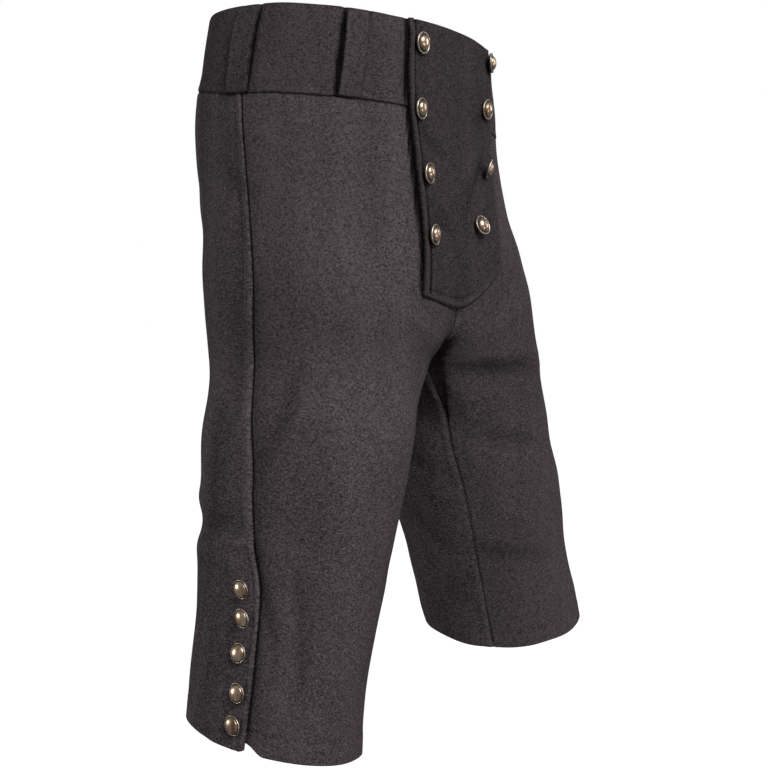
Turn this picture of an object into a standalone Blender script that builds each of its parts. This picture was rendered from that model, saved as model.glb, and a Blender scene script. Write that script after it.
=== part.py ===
"""Knee-length fall-front breeches in canvas, filled out as when worn.

The garment faces -Y, +Z is up and the wearer's left is +X. The origin is the middle of the waist
opening. Each cloth panel is a 2 mm wall, shaped by rings that run from the centre front round the
side to the centre back, and below the crotch from the inseam round the leg.
"""

import math
from collections import namedtuple

import bmesh
import bpy
import numpy as np
from mathutils import Matrix, Vector

# Driving sizes in metres
WALL = 0.002
SEAM_GAP = 0.0003
LAY_GAP = 0.0003
BAND_HEIGHT = 0.075
# Behind the side seams the band's lower seam rises by this much, up to this place round the body
BAND_RISE = 0.0155
BAND_RISE_START = 0.50
BAND_RISE_END = 0.77
SEAT_START = 0.150
CROTCH_DROP = 0.290
HEM_DROP = 0.565
CROTCH_Y = -0.074
WAIST_SLOPE = 0.041
WAIST_SLOPE_REACH = 0.150
SEAM_FADE = 0.060
# Small steps round the body and down, for measuring directions and widths
STEP_U = 0.01
STEP_DROP = 0.005
NEAR_SEAM = 0.25
# Behind the inseam each thigh stands this share of its width away from the middle, down to a drop
THIGH_EASE = 0.15
THIGH_EASE_END = 0.370
THIGH_EASE_START_U = 0.62
THIGH_EASE_SPAN = 0.20

SIDES = ("right", "left")
OUTWARD = {"right": -1.0, "left": 1.0}

# The trunk's half rings: how far below the waist, half width, depth to the front and back,
# roundness of the front and back, how far the side seam turns to the front in degrees, and how far
# the front bulges on the wearer's left more than on the right
Trunk = namedtuple("Trunk", "drop half front back front_power back_power side_turn lean")
TRUNK = (
    Trunk(0.000, 0.158, 0.1075, 0.1195, 1.93, 1.90, 2.0, 0.001),
    Trunk(0.045, 0.1700, 0.1073, 0.1182, 1.93, 1.88, 5.6, 0.001),
    Trunk(0.075, 0.1775, 0.107, 0.124, 1.93, 1.85, 8.0, 0.001),
    Trunk(0.150, 0.1795, 0.112, 0.123, 2.03, 1.75, 10.0, 0.008),
    Trunk(0.220, 0.1825, 0.1195, 0.1095, 2.08, 1.65, 12.5, 0.014),
    Trunk(0.290, 0.182, 0.1205, 0.100, 2.08, 1.70, 8.0, 0.008),
)

# The legs' rings: how far below the waist, where the ring's middle lies outward and to the back on
# each leg, its radii, its shear, and how far the inseam and side seam turn to the front in degrees
Leg = namedtuple("Leg", "drop out right_y left_y wide deep shear inseam_turn side_turn")
LEG = (
    Leg(0.150, 0.0903, -0.0040, -0.0090, 0.0873, 0.1106, 0.00, 27.0, 5.0),
    Leg(0.220, 0.0922, -0.0190, -0.0380, 0.0892, 0.1056, 0.00, 26.0, 5.5),
    Leg(0.290, 0.0912, -0.0140, -0.0460, 0.0875, 0.0870, 0.00, 30.0, 8.5),
    Leg(0.350, 0.1084, -0.0280, -0.0400, 0.0895, 0.0905, 0.04, 29.0, 6.0),
    Leg(0.420, 0.1268, -0.0285, -0.0483, 0.0804, 0.0861, 0.08, 29.5, 11.0),
    Leg(0.490, 0.1459, -0.0312, -0.0562, 0.0745, 0.0787, 0.11, 28.0, 17.0),
    Leg(0.565, 0.1650, -0.0355, -0.0630, 0.0725, 0.0758, 0.14, 28.5, 16.0),
)

# How each hem tips: rise for each metre outward and backward, and a lift of the whole hem
HemSet = namedtuple("HemSet", "outward backward lift")
HEM_SET = {
    "right": HemSet(0.214, 0.119, -0.0237),
    "left": HemSet(0.201, 0.121, 0.0077),
}

# The cloth's largest folds, each from one place to another on a panel: height is how far a ridge
# stands out, or a trough sinks in when it is negative, and width is half its breadth. A fold
# keeps this share of its height at its ends, and widths count this many metres for one u.
FOLD_ENDS = 0.5
FOLD_GIRTH = 0.5
Fold = namedtuple("Fold", "side u0 drop0 u1 drop1 height width")
FOLDS = (
    Fold("right", 0.66, 0.418, 0.52, 0.412, -0.0045, 0.010),
    Fold("right", 0.66, 0.436, 0.54, 0.440, 0.0030, 0.013),
    Fold("right", 0.49, 0.374, 0.41, 0.335, -0.0022, 0.014),
    Fold("right", 0.41, 0.455, 0.415, 0.535, -0.0020, 0.014),
    Fold("right", 0.56, 0.130, 0.50, 0.162, -0.0022, 0.012),
    Fold("left", 0.18, 0.290, 0.08, 0.300, -0.0025, 0.012),
    Fold("left", 0.20, 0.360, 0.06, 0.352, -0.0025, 0.014),
    Fold("left", 0.34, 0.420, 0.48, 0.412, -0.0035, 0.012),
    Fold("left", 0.52, 0.412, 0.66, 0.420, -0.0045, 0.010),
    Fold("left", 0.54, 0.440, 0.66, 0.436, 0.0030, 0.013),
    Fold("left", 0.56, 0.130, 0.50, 0.162, -0.0022, 0.012),
)

# Rows of a panel, as drops below the waist
PANEL_DROPS = (
    0.090, 0.105, 0.120, 0.135, 0.152, 0.172, 0.192, 0.2155, 0.232, 0.250, 0.266, 0.280, 0.290,
    0.300, 0.315, 0.335, 0.355, 0.375, 0.395, 0.413, 0.428, 0.436, 0.443, 0.463, 0.482, 0.502,
    0.522, 0.543, 0.565,
)
BAND_ROWS = 4
# The mesh's lengthwise lines: under the fall, from there to the vent, at the vent and to the back
FALL_COLUMNS = 6
SIDE_COLUMNS = 8
VENT_US = (0.490, 0.500, 0.512, 0.528, 0.546, 0.558)
BACK_COLUMNS = 10
SEAM_COLUMN = FALL_COLUMNS + SIDE_COLUMNS + 1
LAST_COLUMN = SEAM_COLUMN + len(VENT_US) - 2 + BACK_COLUMNS

# The fall's side edges: how far each lies from the centre at a drop, and the drops of its lower
# corners and of its point
FallEdge = namedtuple("FallEdge", "drop right left")
FALL_EDGE = (
    FallEdge(0.000, 0.0625, 0.0690),
    FallEdge(0.040, 0.0660, 0.0710),
    FallEdge(0.075, 0.0655, 0.0700),
    FallEdge(0.105, 0.0620, 0.0665),
    FallEdge(0.140, 0.0585, 0.0635),
    FallEdge(0.170, 0.0560, 0.0620),
    FallEdge(0.2155, 0.0600, 0.0600),
)
FALL_CORNER = {"right": 0.2215, "left": 0.1930}
FALL_POINT = 0.2155
FALL_EDGE_CURVE = 1.5
# Between this drop and the fall's lower edge the panels' rows follow the edge, and lose it again
# over this many columns beside the fall
FALL_LEVEL = 0.120
FALL_FADE_COLUMNS = 4

LOOP_WIDTH = 0.020
LOOP_WALL = 0.0016
LOOP_STAND_OFF = 0.0030
LOOP_BOW = 0.7
LOOP_TOP = 0.003
LOOP_BOTTOM = 0.0742
LOOP_ROWS = 8
# Each belt loop: its side, and where its middle crosses the band's top and bottom
Loop = namedtuple("Loop", "name side u_top u_bottom")
LOOPS = (
    Loop("belt_loop_side_right", "right", 0.482, 0.511),
    Loop("belt_loop_front_right", "right", 0.242, 0.259),
    Loop("belt_loop_side_left", "left", 0.482, 0.511),
    Loop("belt_loop_front_left", "left", 0.345, 0.362),
)

# The buttoned vent at the foot of each side seam. The back panel rises above the front one and
# laps over it, by most at the top, and its raised strip ends in a step behind the buttons. The
# front panel's hem curves up towards the vent.
VENT_TOP = 0.418
VENT_RISE_LENGTH = 0.008
LAP_START = 0.428
LAP_WIDEST = 0.443
LAP_SETTLED = 0.505
LAP_REACH = 0.010
LAP_RETREAT = 0.0085
LAP_SECOND_COLUMN = 0.012
LAP_FLAT_END = 0.546
LAP_STEP = 0.012
HEM_CURVE_START = 0.455
HEM_CURVE_RISE = 0.0070
LAP_CORNER_CUT = 0.0040
# The vent's buttons: how far each lies behind the side seam, its drop, how far it has turned on
# its shank to the back, and how far it tips down, in degrees
VentButton = namedtuple("VentButton", "inset drop turn tip")
VENT_BUTTONS = (
    VentButton(0.0065, 0.4535, 16.0, 18.0),
    VentButton(0.0057, 0.4730, 21.0, 16.0),
    VentButton(0.0095, 0.4985, 15.0, 3.0),
    VentButton(0.0070, 0.5250, 18.0, 9.0),
    VentButton(0.0066, 0.5465, 17.0, 15.0),
)

# The fall's buttons: how far each lies from the centre, its drop, how far it has turned on its
# shank towards the wearer's left, and how far it tips down, in degrees
FallButton = namedtuple("FallButton", "side out drop turn tip")
FALL_BUTTONS = (
    FallButton("right", 0.0525, 0.0195, 13.0, 7.0),
    FallButton("right", 0.0560, 0.0765, 18.0, 5.0),
    FallButton("right", 0.0495, 0.1315, 21.0, 4.0),
    FallButton("right", 0.0475, 0.1740, 23.0, 5.0),
    FallButton("left", 0.0610, 0.0135, 14.0, 0.0),
    FallButton("left", 0.0530, 0.0585, -10.0, 4.0),
    FallButton("left", 0.0390, 0.1145, 24.0, 24.0),
    FallButton("left", 0.0245, 0.1640, -10.0, -14.0),
)
FALL_BUTTON_RADIUS = 0.0090
VENT_BUTTON_RADIUS = 0.0076
BUTTON_SEGMENTS = 16
# A button's flat back as a share of its radius
BUTTON_FOOT = 0.92
# A button's turned profile as shares of its radius: out from the middle, and up from its back
BUTTON_PROFILE = (
    (BUTTON_FOOT, 0.00),
    (1.00, 0.14),
    (0.93, 0.30),
    (0.80, 0.24),
    (0.66, 0.40),
    (0.36, 0.58),
)
BUTTON_TOP = 0.64
BUTTON_GAP = 0.0004


def read(table, column, drop):
    """A column's value between the rows of a table, on a smooth curve through them."""
    drops = [row.drop for row in table]
    values = [getattr(row, column) for row in table]
    last = len(drops) - 1
    if drop <= drops[0]:
        return values[0]
    if drop >= drops[last]:
        return values[last]
    first = max(i for i in range(last) if drops[i] <= drop)
    step = [(values[i + 1] - values[i]) / (drops[i + 1] - drops[i]) for i in range(last)]
    slope = [step[0]] + [(step[i - 1] + step[i]) / 2 for i in range(1, last)] + [step[-1]]
    span = drops[first + 1] - drops[first]
    t = (drop - drops[first]) / span
    start = (2 * t**3 - 3 * t**2 + 1) * values[first] + (t**3 - 2 * t**2 + t) * span * slope[first]
    end = (3 * t**2 - 2 * t**3) * values[first + 1] + (t**3 - t**2) * span * slope[first + 1]
    return start + end


def eased(value):
    """Zero below 0, one above 1, and a smooth rise between."""
    value = min(max(value, 0.0), 1.0)
    return value * value * (3 - 2 * value)


def rounded(value, power):
    return math.copysign(abs(value) ** (2.0 / power), value)


def trunk_point(side, drop, u):
    """A point of the half ring round the hips, from the centre front at 0 to the back at 1."""
    turn = -math.radians(read(TRUNK, "side_turn", drop))
    if u <= 0.5:
        angle = -math.pi / 2 + (turn + math.pi / 2) * 2 * u
    else:
        angle = turn + (math.pi / 2 - turn) * (2 * u - 1)
    ahead = angle < 0
    power = read(TRUNK, "front_power" if ahead else "back_power", drop)
    depth = read(TRUNK, "front" if ahead else "back", drop)
    x = read(TRUNK, "half", drop) * rounded(math.cos(angle), power)
    y = depth * rounded(math.sin(angle), power)
    if u < 0.5:
        y -= OUTWARD[side] * read(TRUNK, "lean", drop) * math.sin(2 * math.pi * u) ** 2
    return x, y


def leg_point(side, drop, u):
    """A point of the leg's ring, from the inseam at 0 round the front and side to 1, with its
    offset from the ring's middle."""
    turn = math.radians(read(LEG, "inseam_turn", drop))
    inseam = -math.pi + turn
    seam = -math.radians(read(LEG, "side_turn", drop))
    if u <= 0.5:
        angle = inseam + (seam - inseam) * 2 * u
    else:
        angle = seam + (inseam + 2 * math.pi - seam) * (2 * u - 1)
    wide, deep, shear = (read(LEG, column, drop) for column in ("wide", "deep", "shear"))
    out, middle = read(LEG, "out", drop), read(LEG, side + "_y", drop)
    off_x = wide * math.cos(angle)
    off_y = deep * math.sin(angle) - shear * off_x
    seam_x = out + wide * math.cos(inseam)
    seam_y = middle + deep * math.sin(inseam) - shear * wide * math.cos(inseam)
    near = eased(min(u, 1 - u) / NEAR_SEAM)
    fade = 1 - eased((drop - CROTCH_DROP) / SEAM_FADE)
    y = middle + off_y + (CROTCH_Y - seam_y) * (1 - near) * fade
    if u <= 0.5:
        x = out + off_x - seam_x * (1 - near) * fade
    else:
        ease = 1 - eased((drop - CROTCH_DROP) / (THIGH_EASE_END - CROTCH_DROP))
        start = eased((u - THIGH_EASE_START_U) / THIGH_EASE_SPAN)
        away = THIGH_EASE * ease * start * eased(4 * (1 - u) / NEAR_SEAM)
        x = out + off_x - min(off_x, 0.0) * away
        x *= 1 - (1 - math.sqrt(near)) * fade
    return x, y, off_x, y - middle


def fold_height(side, drop, u):
    """How far the folds move the cloth out at a place on a panel."""
    total = 0.0
    for fold in FOLDS:
        if fold.side != side:
            continue
        du, dd = (fold.u1 - fold.u0) * FOLD_GIRTH, fold.drop1 - fold.drop0
        pu, pd = (u - fold.u0) * FOLD_GIRTH, drop - fold.drop0
        t = min(max((pu * du + pd * dd) / (du * du + dd * dd), 0.0), 1.0)
        gap = math.hypot(pu - t * du, pd - t * dd)
        middle = 1 - (1 - FOLD_ENDS) * (2 * t - 1) ** 2
        total += fold.height * middle * math.exp(-((gap / fold.width) ** 2))
    return total


def bare_point(side, drop, u):
    """A point of the garment's outer surface without its folds."""
    angle = math.pi / 2 * min(max((drop - SEAT_START) / (CROTCH_DROP - SEAT_START), 0.0), 1.0)
    share = 1 - math.cos(angle)
    seam_drop = drop
    if SEAT_START < drop < CROTCH_DROP:
        seam_drop = SEAT_START + (CROTCH_DROP - SEAT_START) * math.sin(angle)
    trunk_x, trunk_y = trunk_point(side, drop, u)
    leg_x, leg_y, off_x, off_y = leg_point(side, drop, u)
    x = trunk_x + (leg_x - trunk_x) * share
    y = trunk_y + (leg_y - trunk_y) * share
    z = -(seam_drop + (drop - seam_drop) * eased(min(u, 1 - u) / NEAR_SEAM))
    hem = HEM_SET[side]
    tip = eased((drop - CROTCH_DROP) / (HEM_DROP - CROTCH_DROP))
    z += tip * (hem.lift + hem.outward * off_x + hem.backward * off_y)
    z += (1 - eased(drop / WAIST_SLOPE_REACH)) * WAIST_SLOPE * y
    return np.array((OUTWARD[side] * (x + SEAM_GAP / 2), y, z))


def normal_at(side, drop, u):
    """The outward direction of the bare surface, shared by the two panels that meet at a seam."""
    step_u, step_drop = 0.004, 0.001
    closed = drop > CROTCH_DROP + step_drop
    before, after = u - step_u, u + step_u
    if closed:
        before, after = before % 1.0, after % 1.0
    else:
        before, after = max(before, 0.0), min(after, 1.0)
    round_way = bare_point(side, drop, after) - bare_point(side, drop, before)
    upper = max(drop - step_drop, 0.0)
    lower = min(drop + step_drop, HEM_DROP)
    down_way = bare_point(side, lower, u) - bare_point(side, upper, u)
    normal = np.cross(down_way, round_way) * OUTWARD[side]
    if not closed and not 1e-6 < u < 1 - 1e-6:
        normal[0] = 0.0
        if drop > CROTCH_DROP - step_drop:
            normal[1] = 0.0
    return normal / np.linalg.norm(normal)


def surface(side, drop, u, out=0.0):
    """A point of the folded surface, moved out by a distance, and its outward direction."""
    normal = normal_at(side, drop, u)
    lift = fold_height(side, drop, u) + out
    return bare_point(side, drop, u) + normal * lift, normal


def nudged(point, neighbour, distance):
    """A point moved a small distance towards its neighbour."""
    way = neighbour - point
    return point + way / np.linalg.norm(way) * distance


def material(name, colour, roughness, metallic):
    made = bpy.data.materials.new(name)
    made.use_nodes = True
    shader = made.node_tree.nodes["Principled BSDF"]
    shader.inputs["Base Color"].default_value = (*colour, 1.0)
    shader.inputs["Roughness"].default_value = roughness
    shader.inputs["Metallic"].default_value = metallic
    return made


def add_mesh(name, points, faces, finish, smooth_angle):
    """An object from points and faces, with its faces turned outward."""
    mesh = bpy.data.meshes.new(name)
    work = bmesh.new()
    verts = [work.verts.new(Vector(point)) for point in points]
    for face in faces:
        work.faces.new([verts[i] for i in face])
    bmesh.ops.recalc_face_normals(work, faces=work.faces)
    work.to_mesh(mesh)
    work.free()
    mesh.shade_smooth()
    mesh.set_sharp_from_angle(angle=math.radians(smooth_angle))
    mesh.materials.append(finish)
    thing = bpy.data.objects.new(name, mesh)
    bpy.context.scene.collection.objects.link(thing)
    return thing


def wall_between(name, inner, outer, finish, mirrored=0):
    """A closed wall between two grids of points of the same size. Each cell is cut along one
    diagonal, and along the other one in the first columns if they run from the outside in."""
    rows, columns = len(outer), len(outer[0])
    points = [point for row in outer for point in row] + [point for row in inner for point in row]
    back = rows * columns

    def index(row, column):
        return row * columns + column

    faces = []
    for row in range(rows - 1):
        for column in range(columns - 1):
            corners = [
                index(row, column),
                index(row, column + 1),
                index(row + 1, column + 1),
                index(row + 1, column),
            ]
            if column < mirrored:
                corners = corners[1:] + corners[:1]
            for half in (corners[:3], corners[2:] + corners[:1]):
                faces.append(half)
                faces.append([corner + back for corner in reversed(half)])
    rim = [index(0, column) for column in range(columns)]
    rim += [index(row, columns - 1) for row in range(1, rows)]
    rim += [index(rows - 1, column) for column in range(columns - 2, -1, -1)]
    rim += [index(row, 0) for row in range(rows - 2, 0, -1)]
    for here, there in zip(rim, rim[1:] + rim[:1]):
        faces.append([there, here, here + back, there + back])
    return add_mesh(name, points, faces, finish, 50)


def u_at_distance(side, drop, out):
    """Where the front surface lies a given distance from the centre plane."""
    low, high = 0.0, 0.35
    for _ in range(30):
        middle = (low + high) / 2
        if abs(bare_point(side, drop, middle)[0]) < out:
            low = middle
        else:
            high = middle
    return (low + high) / 2


def column_places(side, drop):
    """Where the mesh's lengthwise lines cross a row, from the centre front to the back."""
    level = min(drop, FALL_POINT)
    step = read(FALL_EDGE, side, level) / FALL_COLUMNS
    under_fall = [u_at_distance(side, level, step * i) for i in range(1, FALL_COLUMNS + 1)]
    side_step = (VENT_US[0] - under_fall[-1]) / SIDE_COLUMNS
    beside = [under_fall[-1] + side_step * i for i in range(1, SIDE_COLUMNS)]
    back_step = (1 - VENT_US[-1]) / BACK_COLUMNS
    behind = [VENT_US[-1] + back_step * i for i in range(1, BACK_COLUMNS)]
    return [0.0] + under_fall + beside + list(VENT_US) + behind + [1.0]


def band_rise(u):
    """How far the band's lower seam lies above its lowest level."""
    return BAND_RISE * eased((u - BAND_RISE_START) / (BAND_RISE_END - BAND_RISE_START))


def row_drop(side, drop, column, u):
    """A row's drop at a column: the band's rows follow its lower seam, and the rows over the
    fall's lower edge follow that edge."""
    if drop <= BAND_HEIGHT + SEAM_GAP:
        return drop - band_rise(u) * min(drop / (BAND_HEIGHT - SEAM_GAP), 1.0)
    if not FALL_LEVEL < drop <= FALL_POINT:
        return drop
    weight = max(1 - max(column - FALL_COLUMNS, 0) / FALL_FADE_COLUMNS, 0.0)
    if column < FALL_COLUMNS:
        weight = (column / FALL_COLUMNS) ** FALL_EDGE_CURVE
    edge = FALL_POINT + (FALL_CORNER[side] - FALL_POINT) * weight
    return FALL_LEVEL + (drop - FALL_LEVEL) * (edge - FALL_LEVEL) / (FALL_POINT - FALL_LEVEL)


def mesh_row(side, drop, first, last):
    """A row of surface points and outward directions between two columns of the mesh."""
    places = column_places(side, drop)
    columns = range(first, last + 1)
    return [surface(side, row_drop(side, drop, i, places[i]), places[i]) for i in columns]


def lap_rise(drop, u):
    """How far the vent's lap lifts the back panel above the front one."""
    start = eased((drop - VENT_TOP) / VENT_RISE_LENGTH)
    return (WALL + LAY_GAP) * start * (1 - eased((u - LAP_FLAT_END) / LAP_STEP))


def lap_edge(drop):
    """Where the lap's front edge lies: it runs on from the side seam, over the front panel."""
    forward = eased((drop - LAP_START) / (LAP_WIDEST - LAP_START))
    back = eased((drop - LAP_WIDEST) / (LAP_SETTLED - LAP_WIDEST))
    return 0.5 - LAP_REACH * forward + LAP_RETREAT * back


def back_row(side, drop):
    """A row of the back panel, from the side seam or the vent's edge to the centre back."""
    places = column_places(side, drop)[SEAM_COLUMN:]
    if drop > LAP_START:
        places[:2] = (lap_edge(drop), lap_edge(drop) + LAP_SECOND_COLUMN)
    row = []
    for column, u in enumerate(places):
        level = row_drop(side, drop, LAST_COLUMN, u)
        if drop >= HEM_DROP and column == 0:
            level -= LAP_CORNER_CUT
        row.append(surface(side, level, u, lap_rise(level, u)))
    return row


def front_row(side, drop):
    """A row of a front panel, whose hem curves up towards the vent."""
    row = mesh_row(side, drop, 0, SEAM_COLUMN)
    if drop < HEM_DROP:
        return row
    places = column_places(side, drop)
    for column in range(SEAM_COLUMN + 1):
        curve = eased((places[column] - HEM_CURVE_START) / (0.5 - HEM_CURVE_START))
        row[column] = surface(side, drop - HEM_CURVE_RISE * curve, places[column])
    return row


def panel(name, rows, drops, edges, finish):
    """A cloth panel from rows of surface points and outward directions, its wall to the inside.
    Its first and last columns are side seams or centre seams, as edges says."""
    outer, inner = [], []
    for row, drop in zip(rows, drops):
        points = [point for point, _ in row]
        if drop >= CROTCH_DROP or edges[0] == "side":
            points[0] = nudged(points[0], points[1], SEAM_GAP / 2)
        if drop >= CROTCH_DROP or edges[1] == "side":
            points[-1] = nudged(points[-1], points[-2], SEAM_GAP / 2)
        outer.append(points)
        inner.append([point - normal * WALL for point, (_, normal) in zip(points, row)])
    return wall_between(name, inner, outer, finish)


def laid_on(name, rows, finish, mirrored=0):
    """A layer of cloth on top of rows of surface points and outward directions."""
    inner = [[point + normal * LAY_GAP for point, normal in row] for row in rows]
    outer = [[point + normal * (LAY_GAP + WALL) for point, normal in row] for row in rows]
    return wall_between(name, inner, outer, finish, mirrored)


def make_fall(finish):
    """The fall, over the waistband and the front panels."""
    band = [BAND_HEIGHT * i / BAND_ROWS for i in range(BAND_ROWS + 1)]
    rows = []
    for drop in band + [drop for drop in PANEL_DROPS if drop <= FALL_POINT]:
        right = mesh_row("right", drop, 0, FALL_COLUMNS)
        left = mesh_row("left", drop, 0, FALL_COLUMNS)
        centre = (right[0][0] + left[0][0]) / 2
        rows.append(right[:0:-1] + [(centre, right[0][1])] + left[1:])
    return laid_on("fall", rows, finish, FALL_COLUMNS)


def make_belt_loop(name, middle_line, finish):
    """A belt loop from its middle line, a list of point, outward direction and sideways
    direction."""
    outer, inner = [], []
    for row, (point, normal, sideways) in enumerate(middle_line):
        share = row / (len(middle_line) - 1)
        lift = LAY_GAP + LOOP_STAND_OFF * math.sin(math.pi * share) ** LOOP_BOW
        line = [point + sideways * LOOP_WIDTH * (i / 2 - 0.5) + normal * lift for i in range(3)]
        inner.append(line)
        outer.append([spot + normal * LOOP_WALL for spot in line])
    return wall_between(name, inner, outer, finish)


def side_loop_line(loop):
    line = []
    for row in range(LOOP_ROWS + 1):
        share = row / LOOP_ROWS
        drop = LOOP_TOP + (LOOP_BOTTOM - LOOP_TOP) * share
        u = loop.u_top + (loop.u_bottom - loop.u_top) * share
        point, normal = surface(loop.side, drop, u)
        ahead, _ = surface(loop.side, drop, u + STEP_U)
        sideways = ahead - point
        sideways -= normal * np.dot(sideways, normal)
        line.append((point, normal, sideways / np.linalg.norm(sideways)))
    return line


def back_loop_line():
    """The middle line of the loop over the centre back seam."""
    line = []
    for row in range(LOOP_ROWS + 1):
        share = row / LOOP_ROWS
        drop = LOOP_TOP + (LOOP_BOTTOM - BAND_RISE - LOOP_TOP) * share
        point, normal = surface("left", drop, 1.0)
        point[0] = 0.0
        line.append((point, normal, np.array((1.0, 0.0, 0.0))))
    return line


def make_button(name, seat, normal, radius, finish):
    """A domed button with a raised rim, turned about its middle and set square on the cloth."""
    points = [(0.0, 0.0, 0.0)]
    for out, up in BUTTON_PROFILE:
        for i in range(BUTTON_SEGMENTS):
            angle = 2 * math.pi * i / BUTTON_SEGMENTS
            spot = (out * radius * math.cos(angle), out * radius * math.sin(angle), up * radius)
            points.append(spot)
    points.append((0.0, 0.0, BUTTON_TOP * radius))
    top = len(points) - 1
    faces = []
    for i in range(BUTTON_SEGMENTS):
        j = (i + 1) % BUTTON_SEGMENTS
        faces.append([0, 1 + j, 1 + i])
        for ring in range(len(BUTTON_PROFILE) - 1):
            low, high = 1 + ring * BUTTON_SEGMENTS, 1 + (ring + 1) * BUTTON_SEGMENTS
            faces.append([low + i, low + j, high + j, high + i])
        last = 1 + (len(BUTTON_PROFILE) - 1) * BUTTON_SEGMENTS
        faces.append([last + i, last + j, top])
    button = add_mesh(name, points, faces, finish, 40)
    turn = Vector(normal).to_track_quat("Z", "Y").to_matrix().to_4x4()
    button.matrix_world = Matrix.Translation(Vector(seat)) @ turn
    return button


def turned(direction, turn, tip):
    """A direction turned about the vertical and then tipped down, by angles in degrees."""
    angle = math.radians(turn)
    x, y, z = direction
    level = math.hypot(x, y)
    across = (x * math.cos(angle) - y * math.sin(angle)) / level
    ahead = (x * math.sin(angle) + y * math.cos(angle)) / level
    slope = math.atan2(z, level) - math.radians(tip)
    return np.array((across * math.cos(slope), ahead * math.cos(slope), math.sin(slope)))


def fall_rise(drop, u):
    """How far the fall's outside lies above the panels and the band."""
    return LAY_GAP + WALL


def seat_on(side, drop, u, rise, normal, radius):
    """The seat of a button that clears the cloth below its foot, where rise is a function that
    gives the cloth's height above the surface."""
    centre, outward = surface(side, drop, u, rise(drop, u))
    round_way = (surface(side, drop, u + STEP_U, rise(drop, u + STEP_U))[0] - centre) / STEP_U
    lower = drop - STEP_DROP
    down_way = (centre - surface(side, lower, u, rise(lower, u))[0]) / STEP_DROP
    offsets = np.linalg.inv(np.stack((round_way, down_way, outward), axis=1))
    across = np.cross(normal, down_way)
    across /= np.linalg.norm(across)
    along = np.cross(normal, across)
    highest = 0.0
    for i in range(BUTTON_SEGMENTS):
        angle = 2 * math.pi * i / BUTTON_SEGMENTS
        spoke = (across * math.cos(angle) + along * math.sin(angle)) * radius * BUTTON_FOOT
        du, dd, _ = offsets @ spoke
        level = min(max(drop + dd, 0.0), HEM_DROP)
        below, _ = surface(side, level, u + du, rise(level, u + du))
        highest = max(highest, float(np.dot(below - centre - spoke, outward)))
    return centre + normal * ((highest + BUTTON_GAP) / float(np.dot(normal, outward)))


def make_fall_buttons(finish):
    counts = {"right": 0, "left": 0}
    for spot in FALL_BUTTONS:
        counts[spot.side] += 1
        u = u_at_distance(spot.side, spot.drop, spot.out)
        normal = turned(normal_at(spot.side, spot.drop, u), spot.turn, spot.tip)
        seat = seat_on(spot.side, spot.drop, u, fall_rise, normal, FALL_BUTTON_RADIUS)
        name = "fall_button_%s_%d" % (spot.side, counts[spot.side])
        make_button(name, seat, normal, FALL_BUTTON_RADIUS, finish)


def make_vent_buttons(side, finish):
    for number, spot in enumerate(VENT_BUTTONS, start=1):
        reach = bare_point(side, spot.drop, 0.5 + STEP_U) - bare_point(side, spot.drop, 0.5)
        u = 0.5 + spot.inset * STEP_U / np.linalg.norm(reach)
        turn = spot.turn * OUTWARD[side]
        normal = turned(normal_at(side, spot.drop, u), turn, spot.tip)
        seat = seat_on(side, spot.drop, u, lap_rise, normal, VENT_BUTTON_RADIUS)
        make_button("vent_button_%s_%d" % (side, number), seat, normal, VENT_BUTTON_RADIUS, finish)


def build():
    for thing in list(bpy.data.objects):
        bpy.data.objects.remove(thing, do_unlink=True)
    canvas = material("canvas", (0.046, 0.041, 0.042), 0.88, 0.0)
    band_canvas = material("band_canvas", (0.050, 0.045, 0.046), 0.88, 0.0)
    brass = material("antique_brass", (0.42, 0.29, 0.16), 0.34, 1.0)

    panel_drops = (BAND_HEIGHT + SEAM_GAP / 2,) + PANEL_DROPS
    band_bottom = BAND_HEIGHT - SEAM_GAP / 2
    band_drops = [band_bottom * i / BAND_ROWS for i in range(BAND_ROWS + 1)]
    for side in SIDES:
        front = [front_row(side, drop) for drop in panel_drops]
        panel("front_" + side, front, panel_drops, ("centre", "side"), canvas)
        back = [back_row(side, drop) for drop in panel_drops]
        panel("back_" + side, back, panel_drops, ("side", "centre"), canvas)
        band = [mesh_row(side, drop, 0, LAST_COLUMN) for drop in band_drops]
        panel("waistband_" + side, band, band_drops, ("centre", "centre"), band_canvas)
        make_vent_buttons(side, brass)
    make_fall(canvas)
    make_fall_buttons(brass)
    for loop in LOOPS:
        make_belt_loop(loop.name, side_loop_line(loop), band_canvas)
    make_belt_loop("belt_loop_back", back_loop_line(), band_canvas)


build()
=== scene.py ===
"""Looks for the fall-front breeches: canvas shells with their folds, stitching, buttons and light.

The garment's form repeats the solids' own tables, so every shell lies on the solid it replaces. A
place on the cloth is a side, a drop below the waist and u, which runs from the centre front (or the
inseam) at 0 over the side seam at 0.5 to the centre back at 1.
"""

import math
from collections import namedtuple

import bpy
import numpy as np
from mathutils import Matrix, Vector


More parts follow.
